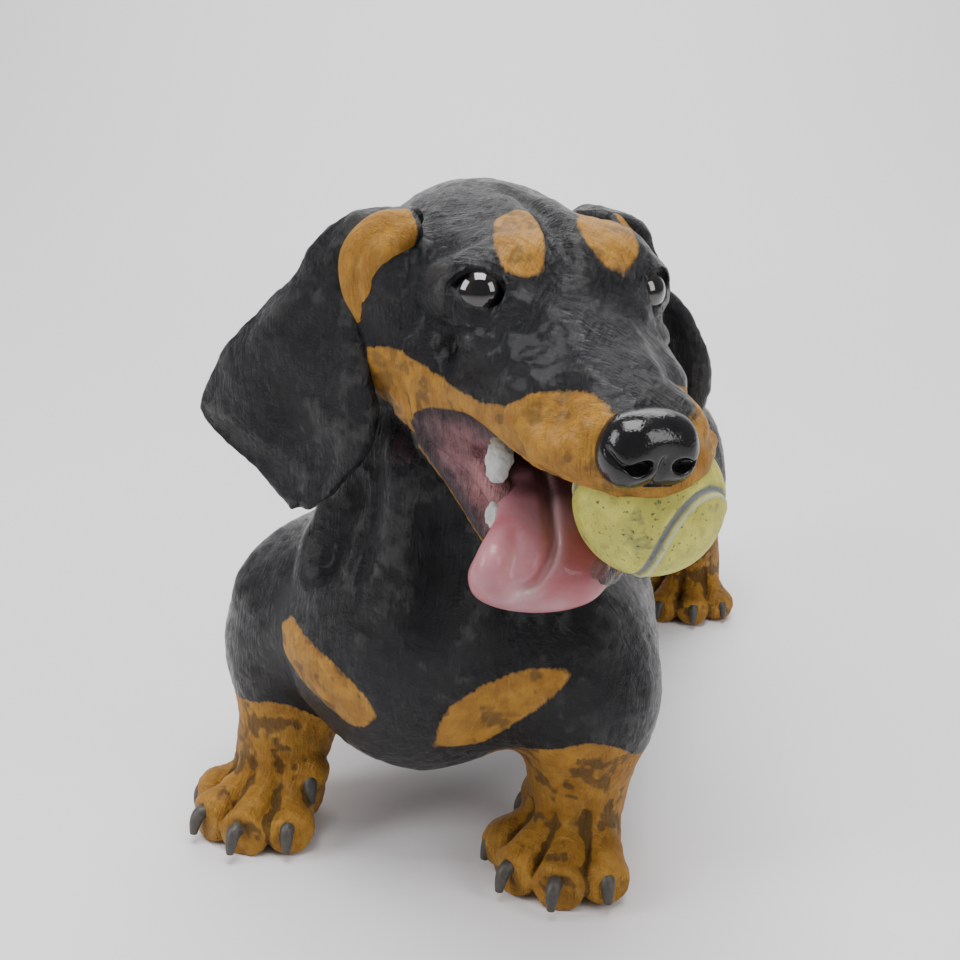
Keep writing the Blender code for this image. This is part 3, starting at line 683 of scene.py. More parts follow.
def paw_frame(leg):
    angle = math.radians(leg["turn"])
    cosine, sine = math.cos(angle), math.sin(angle)
    turn = np.array([[cosine, -sine, 0], [sine, cosine, 0], [0, 0, 1]])
    return turn, BODY_AT + np.array([*leg["heel"], 0.0])


def toe_tips(size):
    for angle, reach in zip(TOE_FAN, TOE_REACH):
        out = np.array([math.sin(math.radians(angle)), -math.cos(math.radians(angle)), 0])
        yield angle, np.array([0, 32 * size, 12.4 * size]) + out * (76 * size * reach - 13 * size)


def paw_form(clay, leg):
    size, inner = leg["size"], -leg["side"]
    clay.work_in(*paw_frame(leg))
    clay.lump((0, 9 * size, 15 * size), (27 * size, 27 * size, 20 * size), blend=10)
    for angle, tip in toe_tips(size):
        knuckle = tip + 0.42 * (np.array([0, 23 * size, 0]) - tip)
        knuckle[2] = 24 * size
        root = np.array([tip[0] * 0.42, 4 * size, 30 * size])
        clay.coil([tip, knuckle, root], [13 * size, 12.8 * size, 11 * size], 3.6, steps=6)
        clay.lump(tip + np.array([0, 0, 1.5]), (13.8 * size, 13 * size, 13.6 * size), blend=4)
    tips = [tip for _, tip in toe_tips(size)]
    for a, b in zip(tips[:-1], tips[1:]):
        gap = (a + b) / 2
        line = [gap + (0, -9, 2), gap + (0, 6, 11), (gap[0] * 0.6, 2 * size, 34 * size),
                (gap[0] * 0.45, -4, 48 * size)]
        clay.press(line, 3.4, 2.3, flatten=(0, -0.35, 1), fade=0.3)
    if size == 1.0:
        clay.lump((inner * 25, 14, 36), (9, 11, 10), blend=5)
        clay.press([(inner * 18, -12, 52), (0, -16, 56), (-inner * 18, -8, 54)], 2.6, 2.2, fade=0.3)
        clay.press([(inner * 16, -14, 62), (0, -17, 64), (-inner * 16, -10, 60)], 2.6, 1.9, fade=0.3)
        clay.press([(inner * 20, -8, 46), (4 * inner, -20, 46), (-inner * 18, -10, 48)], 2.4, 1.8, fade=0.3)
        clay.press([(0, -16, 60), (-inner * 2, -12, 84)], 5, -2.0, fade=0.3)
    clay.lump((0, 0, -40), (400, 400, 40.3), blend=1.0, carve=True)


# The legs get the darkest paint in their grooves: dirty wash and painted shade.
leg_paint = painted("leg stain", crease_dirt_and_shade=0.7, coat=0.05, relief=1.0)
for name, leg in LEGS.items():
    x, y = leg["heel"]
    size = leg["size"]
    shape = Clay((x - 58, y - 62 * size, -3), (x + 58, y + 74, 98), 1.35)
    body_form(shape)
    paw_form(shape, leg)
    shape.part(leg_zone(shape))
    fire(f"{name}_leg_painted", shape, leg_paint, "tan_stain", [f"{name}_leg"])


# ---------------------------------------------------------------- claws
# Short bent claws rolled from dark clay and pressed into the toes before firing.

def bent_claws_tree(material):
    """Every claw of one paw: a bent, tapering horn set at each point, turned by the point's own angle."""
    tree = bpy.data.node_groups.new("bent claws", "GeometryNodeTree")
    face = tree.interface
    face.new_socket("Geometry", in_out="INPUT", socket_type="NodeSocketGeometry")
    for name, value in (("Length", 0.0052), ("Root Radius", 0.0043), ("Drop", 0.0118)):
        face.new_socket(name, in_out="INPUT", socket_type="NodeSocketFloat").default_value = value
    face.new_socket("Geometry", in_out="OUTPUT", socket_type="NodeSocketGeometry")
    given = tree.nodes.new("NodeGroupInput").outputs
    result = tree.nodes.new("NodeGroupOutput").inputs

    def sum_of(a, b, operation="MULTIPLY"):
        return add(tree, "ShaderNodeMath", {"operation": operation}, _0=a, _1=b).outputs[0]

    back = sum_of(given["Length"], -1.0)
    middle_place = add(tree, "ShaderNodeCombineXYZ", Y=sum_of(back, 0.62), Z=sum_of(given["Drop"], 0.12))
    end_place = add(tree, "ShaderNodeCombineXYZ", Y=back, Z=sum_of(given["Drop"], -1.0))
    line = add(tree, "GeometryNodeCurveQuadraticBezier", Resolution=10, Start=(0, 0.003, 0),
               Middle=middle_place.outputs[0], End=end_place.outputs[0])
    share = add(tree, "GeometryNodeSplineParameter").outputs["Factor"]
    taper = add(tree, "ShaderNodeMapRange", Value=sum_of(share, 1.7, "POWER"), _3=1.0, _4=0.5).outputs[0]
    sized = add(tree, "GeometryNodeSetCurveRadius", Curve=line.outputs[0], Radius=taper)
    ring = add(tree, "GeometryNodeCurvePrimitiveCircle", Resolution=14, Radius=given["Root Radius"])
    horn = add(tree, "GeometryNodeCurveToMesh", Curve=sized.outputs[0])
    tree.links.new(ring.outputs[0], horn.inputs["Profile Curve"])
    horn.inputs["Fill Caps"].default_value = True
    if "Scale" in horn.inputs:
        tree.links.new(taper, horn.inputs["Scale"])
        sized.inputs["Radius"].default_value = 1.0
        for link in list(sized.inputs["Radius"].links):
            tree.links.remove(link)
    angle = add(tree, "GeometryNodeInputNamedAttribute", {"data_type": "FLOAT"}, Name="aim").outputs[0]
    size = add(tree, "GeometryNodeInputNamedAttribute", {"data_type": "FLOAT"}, Name="size").outputs[0]
    spin = add(tree, "ShaderNodeCombineXYZ", Z=angle)
    rotation = add(tree, "FunctionNodeEulerToRotation", Euler=spin.outputs[0])
    spread = add(tree, "GeometryNodeInstanceOnPoints", Points=given["Geometry"], Instance=horn.outputs[0],
                 Rotation=rotation.outputs[0])
    tree.links.new(size, spread.inputs["Scale"])
    real = add(tree, "GeometryNodeRealizeInstances", Geometry=spread.outputs[0])
    dressed = add(tree, "GeometryNodeSetMaterial", Geometry=real.outputs[0], Material=material)
    tree.links.new(dressed.outputs[0], result[0])
    return tree


def horn_finish():
    made, tree, shader = finish("claw horn")
    place = add(tree, "ShaderNodeTexCoord").outputs["Object"]
    grain = add(tree, "ShaderNodeTexNoise", Vector=place, Scale=420.0, Detail=4.0)
    tone = add(tree, "ShaderNodeMix", {"data_type": "RGBA"}, Factor=grain.outputs[0])
    tone.inputs[6].default_value = (0.012, 0.011, 0.010, 1)
    tone.inputs[7].default_value = (0.085, 0.075, 0.062, 1)
    tree.links.new(tone.outputs[2], shader.inputs["Base Color"])
    rough = add(tree, "ShaderNodeMapRange", Value=grain.outputs[0], _3=0.3, _4=0.65)
    tree.links.new(rough.outputs[0], shader.inputs["Roughness"])
    bump = add(tree, "ShaderNodeBump", Strength=0.5, Distance=0.0006, Height=grain.outputs[0])
    tree.links.new(bump.outputs[0], shader.inputs["Normal"])
    return made


horn = horn_finish()
claw_tree = bent_claws_tree(horn)
for name, leg in LEGS.items():
    turn, at = paw_frame(leg)
    size = leg["size"]
    roots, aims = [], []
    for angle, tip in toe_tips(size):
        out = np.array([math.sin(math.radians(angle)), -math.cos(math.radians(angle)), 0])
        roots.append((turn @ (tip + out * 8.6 * size + np.array([0, 0, 6.0 * size])) + at) * MM)
        aims.append(math.radians(angle + leg["turn"]))
    if size == 1.0:
        inner = -leg["side"]
        roots.append((turn @ np.array([inner * 29, 8, 35]) + at) * MM)
        aims.append(math.radians(45 * inner + leg["turn"]))
    seeds = bpy.data.meshes.new("claw roots")
    seeds.from_pydata(roots, [], [])
    seeds.attributes.new("aim", "FLOAT", "POINT").data.foreach_set("value", aims)
    seeds.attributes.new("size", "FLOAT", "POINT").data.foreach_set("value", [size] * len(roots))
    seed_obj = bpy.data.objects.new("claw roots", seeds)
    bpy.context.collection.objects.link(seed_obj)
    step = seed_obj.modifiers.new("claws", "NODES")
    step.node_group = claw_tree
    for item in claw_tree.interface.items_tree:
        if item.in_out == "INPUT" and item.socket_type == "NodeSocketFloat":
            step[item.identifier] = item.default_value
    graph = bpy.context.evaluated_depsgraph_get()
    made = bpy.data.meshes.new_from_object(seed_obj.evaluated_get(graph))
    bpy.data.objects.remove(seed_obj)
    claws = bpy.data.objects.new(f"{name}_claws", made)
    bpy.context.collection.objects.link(claws)
    made.polygons.foreach_set("use_smooth", np.ones(len(made.polygons), bool))
    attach(claws, "root")
    replaced = [f"{name}_claw_{i}" for i in (1, 2, 3, 4)]
    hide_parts(*replaced, *([f"{name}_dewclaw"] if size == 1.0 else []))


# ---------------------------------------------------------------- head
# The skull, brows, cheeks and upper lips, hollow and modelled with a loop tool. Lids are folded over
# the eyes, a furrow runs down the forehead, and the tan brows and muzzle band are painted by brush.

LIP_COIL = [(38, -12, -36), (39, -42, -22), (36, -68, -17), (32, -88, -18), (27, -107, -18),
            (20, -128, -18), (12, -138, -17)]
# The upper lip is stretched over the ball, which sits a little to the dog's left.
BALL_LIP = [(-13, -100, -36), (-13, -127, -27), (-4, -142, -24), (9, -148, -20), (22, -145, -16),
            (29, -139, -15),
            (37, -128, -14)]
JAW_COIL = [(38, -4, -54), (37, -33, -60), (33, -61, -70), (28, -81, -80), (17, -104, -86), (0, -114, -84)]


def both_sides(points):
    points = np.asarray(points, float)
    return points * (-1, 1, 1), points


def eye_opening(clay, side):
    """Two lids that meet at the corners, over an eye that sits at (41, -46, 26) on either side."""
    centre = np.array([side * 41, -46.0, 26.0])
    corner = np.array([side * -20.0, -12.0, -4.0])
    corner /= np.linalg.norm(corner)
    out = np.array([side * 0.36, -0.81, 0.45])
    out -= (out @ corner) * corner
    out /= np.linalg.norm(out)
    up = np.cross(out, corner)
    up *= np.sign(up[2])
    clay.lump(centre, (16.0, 16.0, 16.0), blend=8)
    clay.lump(centre + out * 1.5 + up * 9, (17, 13, 8), blend=8)
    cut, place = clay.near(centre - 26, centre + 26)
    if cut is None:
        return
    p = [place[k] - np.float32(centre[k]) for k in range(3)]
    deep = sum(p[k] * np.float32(out[k]) for k in range(3))
    high = sum(p[k] * np.float32(up[k]) for k in range(3))
    wide = sum(p[k] * np.float32(corner[k]) for k in range(3))
    lower = 5.6 - (0.84 * deep + 0.55 * high)
    upper = 6.2 - (0.80 * deep - 0.60 * high)
    gap = np.maximum(np.maximum(lower, upper), np.sqrt(deep**2 + high**2 + wide**2) - 17.0)
    clay.carve(cut, gap, 2.6)
    # Creases of the lids fan out from the outer corner.
    for lift, depth in ((16.5, 1.7), (21.0, 1.2), (26.0, 0.8), (-16.5, 1.5), (-21.0, 1.1), (-26.0, 0.7)):
        arc = []
        across = 14.0 + abs(lift) * 0.12
        start = math.copysign(2, lift)
        for i in range(7):
            s = -1 + i * 0.29
            rise = start + (lift - start) * (1 - s * s) ** 0.5 * 0.62
            arc.append(centre + corner * across * s + up * rise + out * (9 - 5 * s * s))
        clay.press(arc, 1.4, depth, flatten=out, fade=0.35)


def head_form(clay):
    clay.work_in(HEAD_TURN, HEAD_AT)
    clay.lump((0, 22, 6), (59, 72, 49), blend=16)
    clay.lump((0, -20, 20), (48, 46, 34), blend=12)
    clay.lump((0, -56.5, 6), (41, 40, 27), blend=12)
    clay.lump((0, -98.5, 0), (31, 58, 21), (8, 0, 0), 12)
    clay.lump((0, -125, -5), (26, 22, 16), blend=8)
    clay.lump((18, -128, -6), (16, 18, 14), blend=8)
    clay.lump((0, 2, -50), (42, 14, 32), blend=6)
    for side in (-1, 1):
        clay.lump((side * 38, 2, -22), (24, 50, 34), blend=12)
        clay.lump((side * 25, -36, 36), (20, 20, 15), blend=10)
    clay.lump((31, -32, 39), (18, 22, 15), blend=10)
    for line in both_sides(LIP_COIL):
        clay.coil(line, [15, 14, 13, 13, 14, 12, 11], 7)
    clay.coil(BALL_LIP, [6, 6.4, 6.6, 6.6, 6.4, 6.4, 7], 5)
    for side in (-1, 1):
        # Muscle and fat round each eye, and the root that the ear is luted to.
        clay.lump((side * 52, -34, 22), (13, 17, 14), blend=9)
        clay.lump((side * 41, -57, 8), (15, 14, 11), blend=9)
        clay.lump((side * 32, -79, 0), (15, 30, 14), blend=14)
        clay.lump((side * 27, -59, 23), (12, 14, 12), blend=9)
        clay.lump((side * 60, 14, 12), (15, 24, 28), blend=12)
        clay.lump((side * 58, 18, -20), (15, 24, 32), blend=12)
    # The furrow of the forehead, with a soft roll on each side of it.
    clay.press([(0, 30, 55), (0, 2, 54), (-1, -22, 54), (-3, -42, 48), (-2, -60, 36)], 5.0, 8.0, fade=0.2)
    for side in (-1, 1):
        clay.press([(side * 13, 18, 54), (side * 12, -10, 54), (side * 10, -40, 48)], 9, -3.4, fade=0.3)
        clay.press([(side * 50, -28, 38), (side * 38, -32, 47), (side * 22, -26, 53)], 3.4, 2.2, fade=0.3)
        clay.press([(side * 14, -66, 32), (side * 14, -96, 20), (side * 12, -128, 10)], 8, -2.0, fade=0.3)
        clay.press([(side * 30, -72, 14), (side * 29, -98, 6), (side * 24, -122, 1)], 9, 1.8, fade=0.3)
        # The cheekbone and the hollow under the eye.
        clay.press([(side * 52, -40, 8), (side * 46, -62, 4), (side * 36, -80, 4)], 7, 3.2, fade=0.3)
        clay.press([(side * 58, -40, 16), (side * 50, -60, 12), (side * 38, -72, 14)], 2.2, 1.4, fade=0.3)
        clay.press([(side * 24, -66, 22), (side * 18, -78, 22), (side * 15, -96, 18)], 3.0, 1.6, fade=0.3)
        clay.press([(side * 60, -16, 4), (side * 53, -44, -6), (side * 44, -70, -8)], 9, -2.2, fade=0.3)
    for side in (-1, 1):
        eye_opening(clay, side)


def cheek_web(clay):
    """The thin skin at each corner of the mouth, pleated where it stretches."""
    for side in (-1, 1):
        clay.coil([(side * 45, -8, -46), (side * 42, -30, -42), (side * 36, -52, -38), (side * 31, -72, -34)],
                  [12, 12, 10, 8], 6)
        clay.coil([(side * 42, -8, -50), (side * 38, -34, -52), (side * 32, -58, -56), (side * 27, -78, -66)],
                  [10, 10, 8, 7], 6)
        for i in range(6):
            y = -22 - 9 * i
            clay.press([(side * 52, y + 5, -30), (side * 49, y, -44), (side * 44, y - 3, -58)], 2.0, 1.3,
                       flatten=(side * 1.0, 0, 0), fade=0.35)


def lip_side(points):
    """Distance inside the lips, in the head's frame: above 0 in the mouth."""
    x, y, z = from_head(points).T
    order = np.argsort([p[1] for p in LIP_COIL])
    line = np.array(LIP_COIL, float)[order]
    cx, cz = np.interp(y, line[:, 1], line[:, 0]), np.interp(y, line[:, 1], line[:, 2])
    inward = -((np.abs(x) - cx) * 0.93 + (z - cz) * 0.37) + 3.0
    return np.minimum(inward, cz - 2 - z)


BROW_RIGHT = [(-15, -18), (-7, -25), (-9, -35), (-12, -44), (-16, -55), (-22, -59), (-32, -59), (-37, -53),
              (-36, -41), (-29, -28), (-24, -19)]
BROW_LEFT = [(16, -22), (24, -17), (33, -25), (38, -39), (34, -52), (27, -58), (17, -57), (11, -50),
             (10, -37)]
BAND_Y = [-160, -141, -131, -120, -107, -101, -94, -75, -51, -31, -13, -4, 6, 16]
BAND_Z = [5, 6, 9, 10, 4, -2, -8, -14, -17, -16, -16, -17, -22, -70]


def head_paint(points, normal):
    x, y, z = from_head(points).T
    tan = np.full(len(points), -12.0)
    for outline in (BROW_RIGHT, BROW_LEFT):
        tan = np.maximum(tan, np.where(z > 20, inside(x, y, outline), -12))
    band = np.minimum(np.interp(y, BAND_Y, BAND_Z) - z, 4 - y)
    band = np.minimum(band, np.maximum(np.abs(x) * 0.8 - 12, -y - 128))
    band = np.minimum(band, z + 52 + np.maximum(-y - 12, 0) * 0.8)
    # The clay under the nose pad is glazed black with it.
    under_nose = (np.hypot((x + 4) / 20, (z + 6) / 15) < 1) & (y < -128)
    return np.where(under_nose, -12, np.clip(np.maximum(tan, band), -12, 12))


def head_mouth(points, normal):
    x, y, z = from_head(points).T
    corner = np.interp(y, [-66, -60, -46, -37, -28, -22], [-26, -27, -31, -34, -40, -48]) - z
    corner = np.minimum(corner, np.minimum(y + 70, -21 - y))
    deep = np.minimum(np.maximum(lip_side(points), corner), 2 + 0.36 * np.maximum(-y - 28, 0))
    return np.clip(np.minimum(deep, np.minimum(-2 - y, (y + 108) * 0.6)), -12, 24)


head = Clay((-78, -160, -100), (78, 106, 74), 1.3, HEAD_TURN, HEAD_AT)
body_form(head)
head_form(head)
cheek_web(head)
head.part(head_zone(head))
head_glaze = painted("head glaze", crease_dirt_and_shade=0.5, coat=0.1)
fire("painted_head", head, head_glaze, "black_glaze", ["head_shell"], head_mouth, head_paint)
del head


# ---------------------------------------------------------------- lower jaw
# A separate slab of clay under the open mouth. Its lip is a rolled coil with a thin tan edge.

def jaw_form(clay):
    clay.work_in(HEAD_TURN, HEAD_AT)
    for line in both_sides(JAW_COIL):
        clay.coil(line, [13, 12, 10.5, 10, 9.5, 9.5], 6)
    clay.lump((0, -51, -79), (34, 46, 9), (14, 0, 0), 8)
    clay.lump((0, -86, -89), (24, 32, 8), blend=8)


def jaw_side(points):
    x, y, z = from_head(points).T
    line = np.array(JAW_COIL, float)[np.argsort([p[1] for p in JAW_COIL])]
    cx, cz = np.interp(y, line[:, 1], line[:, 0]), np.interp(y, line[:, 1], line[:, 2])
    return -((np.abs(x) - cx) * 0.5 - (z - cz) * 0.87) + 8.0


def jaw_paint(points, normal):
    rim = jaw_side(points)
    return np.clip(np.minimum(1.4 - np.abs(rim), -24 - from_head(points)[:, 1]), -12, 12)


def jaw_mouth(points, normal):
    return np.clip(jaw_side(points), -12, 24)


jaw = Clay((-60, -132, -112), (60, 22, -30), 1.2, HEAD_TURN, HEAD_AT)
jaw_form(jaw)
fire("painted_jaw", jaw, head_glaze, "black_glaze", ["lower_jaw"], jaw_mouth, jaw_paint)


# ---------------------------------------------------------------- ears
# Slabs of clay rolled out, cut to a leaf, folded over at the root and draped down beside the cheeks.

RIGHT_EAR = [
    ((-48, 10, 44), (-50, 40, 34)),
    ((-64, 14, 36), (-70, 38, 36)),
    ((-70, 19, 16), (-80, 47, 26)),
    ((-70, 17, 0), (-86, 54, 12)),
    ((-70, 14, -10), (-91, 58, -7)),
    ((-69, 11, -17), (-102, 75, -29)),
    ((-68, 6, -25), (-109, 85, -44)),
    ((-67, 0, -36), (-115, 92, -62)),
    ((-65, -6, -48), (-121, 99, -87)),
    ((-66, -9, -62), (-121, 97, -96)),
    ((-68, -8, -75), (-113, 78, -105)),
    ((-74, -1, -90), (-103, 55, -110)),
    ((-80, 8, -104), (-95, 37, -117)),
    ((-86, 17, -114), (-91, 25, -119)),
]
LEFT_EAR = [
    ((48, 10, 44), (50, 44, 32)),
    ((66, 2, 42), (64, 44, 36)),
    ((74, 0, 30), (74, 54, 16)),
    ((86, -2, 10), (84, 66, -16)),
    ((99, -8, 0), (88, 73, -33)),
    ((106, -14, -12), (92, 80, -50)),
    ((111, -19, -26), (95, 83, -66)),
    ((112, -22, -40), (96, 84, -80)),
    ((109, -22, -56), (96, 78, -92)),
    ((103, -18, -72), (95, 66, -101)),
    ((96, -8, -90), (93, 48, -110)),
    ((90, 4, -104), (91, 34, -113)),
    ((88, 12, -112), (90, 24, -115)),
]


def ear_sheet(rows, side, across=72, down=110, half_thick=4.6):
    """Both faces of a slab ear: its rim is rounded, its middle hollow, its front ridged."""
    rows = np.asarray(rows, float)
    fronts = smooth_path(rows[:, 0], 12)
    backs = smooth_path(rows[:, 1], 12)
    pick = np.linspace(0, len(fronts) - 1, down)
    front = np.column_stack([np.interp(pick, np.arange(len(fronts)), fronts[:, k]) for k in range(3)])
    back = np.column_stack([np.interp(pick, np.arange(len(backs)), backs[:, k]) for k in range(3)])
    # Points crowd towards the rim, where the slab rounds over.
    s = 0.5 - 0.5 * np.cos(np.pi * np.linspace(0, 1, across))
    t = np.linspace(0, 1, down)[:, None]
    sheet = front[:, None] + (back - front)[:, None] * s[None, :, None]
    belly = 6.0 * np.sin(np.pi * s)[None, :] * np.sin(np.pi * np.clip(t * 1.15, 0, 1))
    hollow = 5.0 * np.exp(-(((s[None, :] - 0.52) / 0.2) ** 2 + ((t - 0.66) / 0.16) ** 2))
    hollow += 3.0 * np.exp(-(((s[None, :] - 0.35) / 0.14) ** 2 + ((t - 0.4) / 0.1) ** 2))
    ridge = 3.2 * np.exp(-(((s[None, :] - 0.1) / 0.09) ** 2)) * np.sin(np.pi * np.clip(t, 0.05, 1))
    ridge += 2.2 * np.exp(-(((s[None, :] - 0.72) / 0.12) ** 2 + ((t - 0.5) / 0.25) ** 2))
    wave = 1.1 * np.sin(9 * s[None, :] + 5 * t) * np.sin(14 * t + 3 * s[None, :])
    sheet[:, :, 0] += side * (belly - hollow + ridge + wave)
    du = np.gradient(sheet, axis=0)
    dv = np.gradient(sheet, axis=1)
    normal = np.cross(du, dv)
    normal /= np.maximum(np.linalg.norm(normal, axis=2, keepdims=True), 1e-6)
    width = np.linalg.norm(back - front, axis=1)[:, None]
    to_rim = np.minimum(np.minimum(s, 1 - s)[None, :] * width, (1 - t) * 150)
    thick = half_thick * np.sqrt(np.clip(1 - (1 - np.clip(to_rim / half_thick, 0, 1)) ** 2, 0, 1))
    thick[:, 0] = thick[:, -1] = 0
    upper, lower = sheet + normal * thick[:, :, None], sheet - normal * thick[:, :, None]
    return upper, lower, thick


def ear_mesh(rows, side):
    upper, lower, thick = ear_sheet(rows, side)
    down, across = thick.shape
    index = np.arange(down * across).reshape(down, across)
    other = index + down * across
    # The two faces share the points of the rim.
    other[:, 0], other[:, -1], other[-1, :] = index[:, 0], index[:, -1], index[-1, :]
    upper[-1] = lower[-1] = (upper[-1] + lower[-1]) / 2

    def quads(g):
        corners = (g[:-1, :-1], g[1:, :-1], g[1:, 1:], g[:-1, 1:])
        return np.column_stack([corner.ravel() for corner in corners])

    top = np.column_stack([index[0, :-1], index[0, 1:], other[0, 1:], other[0, :-1]])
    faces = np.vstack([quads(index), quads(other)[:, ::-1], top])
    points = np.vstack([upper.reshape(-1, 3), lower.reshape(-1, 3)])
    points = points @ HEAD_TURN.T + HEAD_AT
    used = np.unique(faces)
    order = np.full(len(points), -1)
    order[used] = np.arange(len(used))
    points, faces = points[used], order[faces]
    a, b, c, d = (points[faces[:, k]] for k in range(4))
    volume = (np.einsum("ij,ij->i", a, np.cross(b, c)) + np.einsum("ij,ij->i", a, np.cross(c, d))).sum()
    return points, faces if volume > 0 else faces[:, ::-1]


ear_glaze = painted("ear glaze", crease_dirt_and_shade=0.4, coat=0.05)
for name, side, rows in (("right_ear", -1, RIGHT_EAR), ("left_ear", 1, LEFT_EAR)):
    points, faces = ear_mesh(rows, side)
    relief, normal = relief_of(points, faces, 10)
    points, marks = worked(points, normal, 1.3)
    relief = relief + marks
    nothing = np.full(len(points), -12.0)
    piece(f"{name}_painted", points, faces, ear_glaze, "black_glaze", [name], tan=nothing, mouth=nothing,
          relief=relief, wet=np.zeros(len(points)))


def ear_fold(name, side):
    """The rolled root of an ear, whose tan lining shows in two strips, with the crease between them painted
    black as shade.
    """
    clay = Clay((side * 80 - 26, -12, -22), (side * 80 + 26, 60, 66), 1.0, HEAD_TURN, HEAD_AT)
    clay.work_in(HEAD_TURN, HEAD_AT)
    clay.coil([(side * 57, 9, 40), (side * 67, 15, 34), (side * 74, 21, 20), (side * 74, 18, 4),
               (side * 71, 12, -8)],
              [7, 9, 9, 7.5, 4.5], 5)
    clay.coil([(side * 57, 2, 38), (side * 65, 5, 30), (side * 70, 9, 18), (side * 70, 9, 4),
               (side * 69, 12, -6)],
              [6, 8, 7.5, 5.5, 3.5], 4)
    points, faces = whole(*clay.skin())
    relief, normal = relief_of(points, faces)
    x, y, z = from_head(points).T
    tan = np.minimum(52 - z, 1.5 * (side * x - 56))
    # The crease between the two coils is painted black: painted shade.
    tan = np.minimum(tan, np.abs(side * x - 72) + np.abs(y - 14) * 0.6 - 2.5 + np.maximum(z - 10, 0) * 0.3)
    piece(name, points, faces, ear_glaze, "tan_stain", [], tan=np.clip(tan, -12, 12),
          mouth=np.full(len(points), -12.0), relief=relief, wet=np.zeros(len(points)))


ear_fold("right_ear_fold", -1)
ear_fold("left_ear_fold", 1)


# ---------------------------------------------------------------- eyes
# Glossy black domes set in their sockets, under a thick clear glaze.

def eye_finish():
    made, tree, shader = finish("eye glaze")
    ring = read(tree, "iris")
    place = add(tree, "ShaderNodeTexCoord").outputs["Object"]
    fleck = add(tree, "ShaderNodeTexNoise", Vector=place, Scale=600.0, Detail=3.0)
    brown = add(tree, "ShaderNodeMix", {"data_type": "RGBA"}, Factor=fleck.outputs[0])
    brown.inputs[6].default_value = (0.004, 0.003, 0.003, 1)
    brown.inputs[7].default_value = (0.022, 0.014, 0.010, 1)
    tone = add(tree, "ShaderNodeMix", {"data_type": "RGBA"}, Factor=ring)
    tone.inputs[6].default_value = (0.003, 0.003, 0.0035, 1)
    tree.links.new(brown.outputs[2], tone.inputs[7])
    tree.links.new(tone.outputs[2], shader.inputs["Base Color"])
    rough = add(tree, "ShaderNodeMapRange", Value=fleck.outputs[0], _3=0.05, _4=0.12)
    tree.links.new(rough.outputs[0], shader.inputs["Roughness"])
    shader.inputs["Coat Weight"].default_value = 1.0
    shader.inputs["Coat Roughness"].default_value = 0.03
    return made


eye_glaze = eye_finish()
for name, side in (("right_eye", -1), ("left_eye", 1)):
    clay = Clay((side * 41 - 18, -64, 8), (side * 41 + 18, -28, 44), 0.7, HEAD_TURN, HEAD_AT)
    clay.work_in(HEAD_TURN, HEAD_AT)
    out = np.array([side * 0.36, -0.81, 0.45])
    out /= np.linalg.norm(out)
    clay.lump((side * 41, -46, 26), (13.8, 13.8, 13.8))
    clay.lump(np.array([side * 41, -46, 26]) + out * 5.0, (9.6, 9.6, 9.6), blend=3)
    points, faces = whole(*clay.skin())
    away = from_head(points) - np.array([side * 41, -46, 26])
    turn = np.arccos(np.clip((away @ out) / np.linalg.norm(away, axis=1), -1, 1))
    iris = np.clip(1 - np.abs(turn - 0.42) / 0.14, 0, 1)
    piece(f"{name}_glazed", points, faces, eye_glaze, "gloss_black", [name], iris=iris)


# ---------------------------------------------------------------- nose
# A pad of clay with two comma nostrils and a split below, flooded with gloss black glaze.

def nose_finish():
    made, tree, shader = finish("nose glaze")
    place = add(tree, "ShaderNodeTexCoord").outputs["Object"]
    skin = add(tree, "ShaderNodeTexVoronoi", {"feature": "DISTANCE_TO_EDGE"}, Vector=place, Scale=520.0)
    soft = add(tree, "ShaderNodeTexNoise", Vector=place, Scale=150.0, Detail=4.0)
    tone = add(tree, "ShaderNodeMix", {"data_type": "RGBA"}, Factor=soft.outputs[0])
    tone.inputs[6].default_value = (0.003, 0.003, 0.003, 1)
    tone.inputs[7].default_value = (0.012, 0.012, 0.013, 1)
    tree.links.new(tone.outputs[2], shader.inputs["Base Color"])
    rough = add(tree, "ShaderNodeMapRange", Value=soft.outputs[0], _3=0.06, _4=0.22)
    tree.links.new(rough.outputs[0], shader.inputs["Roughness"])
    both = add(tree, "ShaderNodeMath", {"operation": "MULTIPLY_ADD"},
               _0=skin.outputs[0], _1=0.5, _2=soft.outputs[0])
    bump = add(tree, "ShaderNodeBump", Strength=0.35, Distance=0.0008, Height=both.outputs[0])
    tree.links.new(bump.outputs[0], shader.inputs["Normal"])
    shader.inputs["Coat Weight"].default_value = 0.2
    shader.inputs["Coat Roughness"].default_value = 0.05
    shader.inputs["Specular IOR Level"].default_value = 0.3
    return made


nose = Clay((-30, -168, -32), (30, -122, 18), 0.8, HEAD_TURN, HEAD_AT)
nose.work_in(HEAD_TURN, HEAD_AT + HEAD_TURN @ np.array([-4.0, 0.0, 0.0]))
for side in (-1, 1):
    nose.lump((side * 10.2, -146, -7), (12.6, 14, 15), blend=6)
nose.lump((0, -145, -5), (18, 13.5, 15), blend=6)
nose.lump((0, -145, 2), (18, 12, 8), blend=6)
for side in (-1, 1):
    nose.lump((side * 10.0, -160, -8), (5.4, 8, 3.6), (0, side * 14, 0), 2.0, carve=True)
    nose.press([(side * 12, -158, -8), (side * 18, -154, -7), (side * 22, -147, -2)], 1.8, 2.2, fade=0.3)
nose.press([(0, -160, -2), (0, -161, -12), (0, -158, -24)], 1.6, 2.4, flatten=(0, 1, 0), fade=0.2)
points, faces = whole(*nose.skin())
piece("nose_glazed", points, faces, nose_finish(), "gloss_black", ["nose_pad"])


# ---------------------------------------------------------------- ball
# A hollow play ball pinched from clay, with its seam cut in and rubbed with grey, and pits left by the grog.

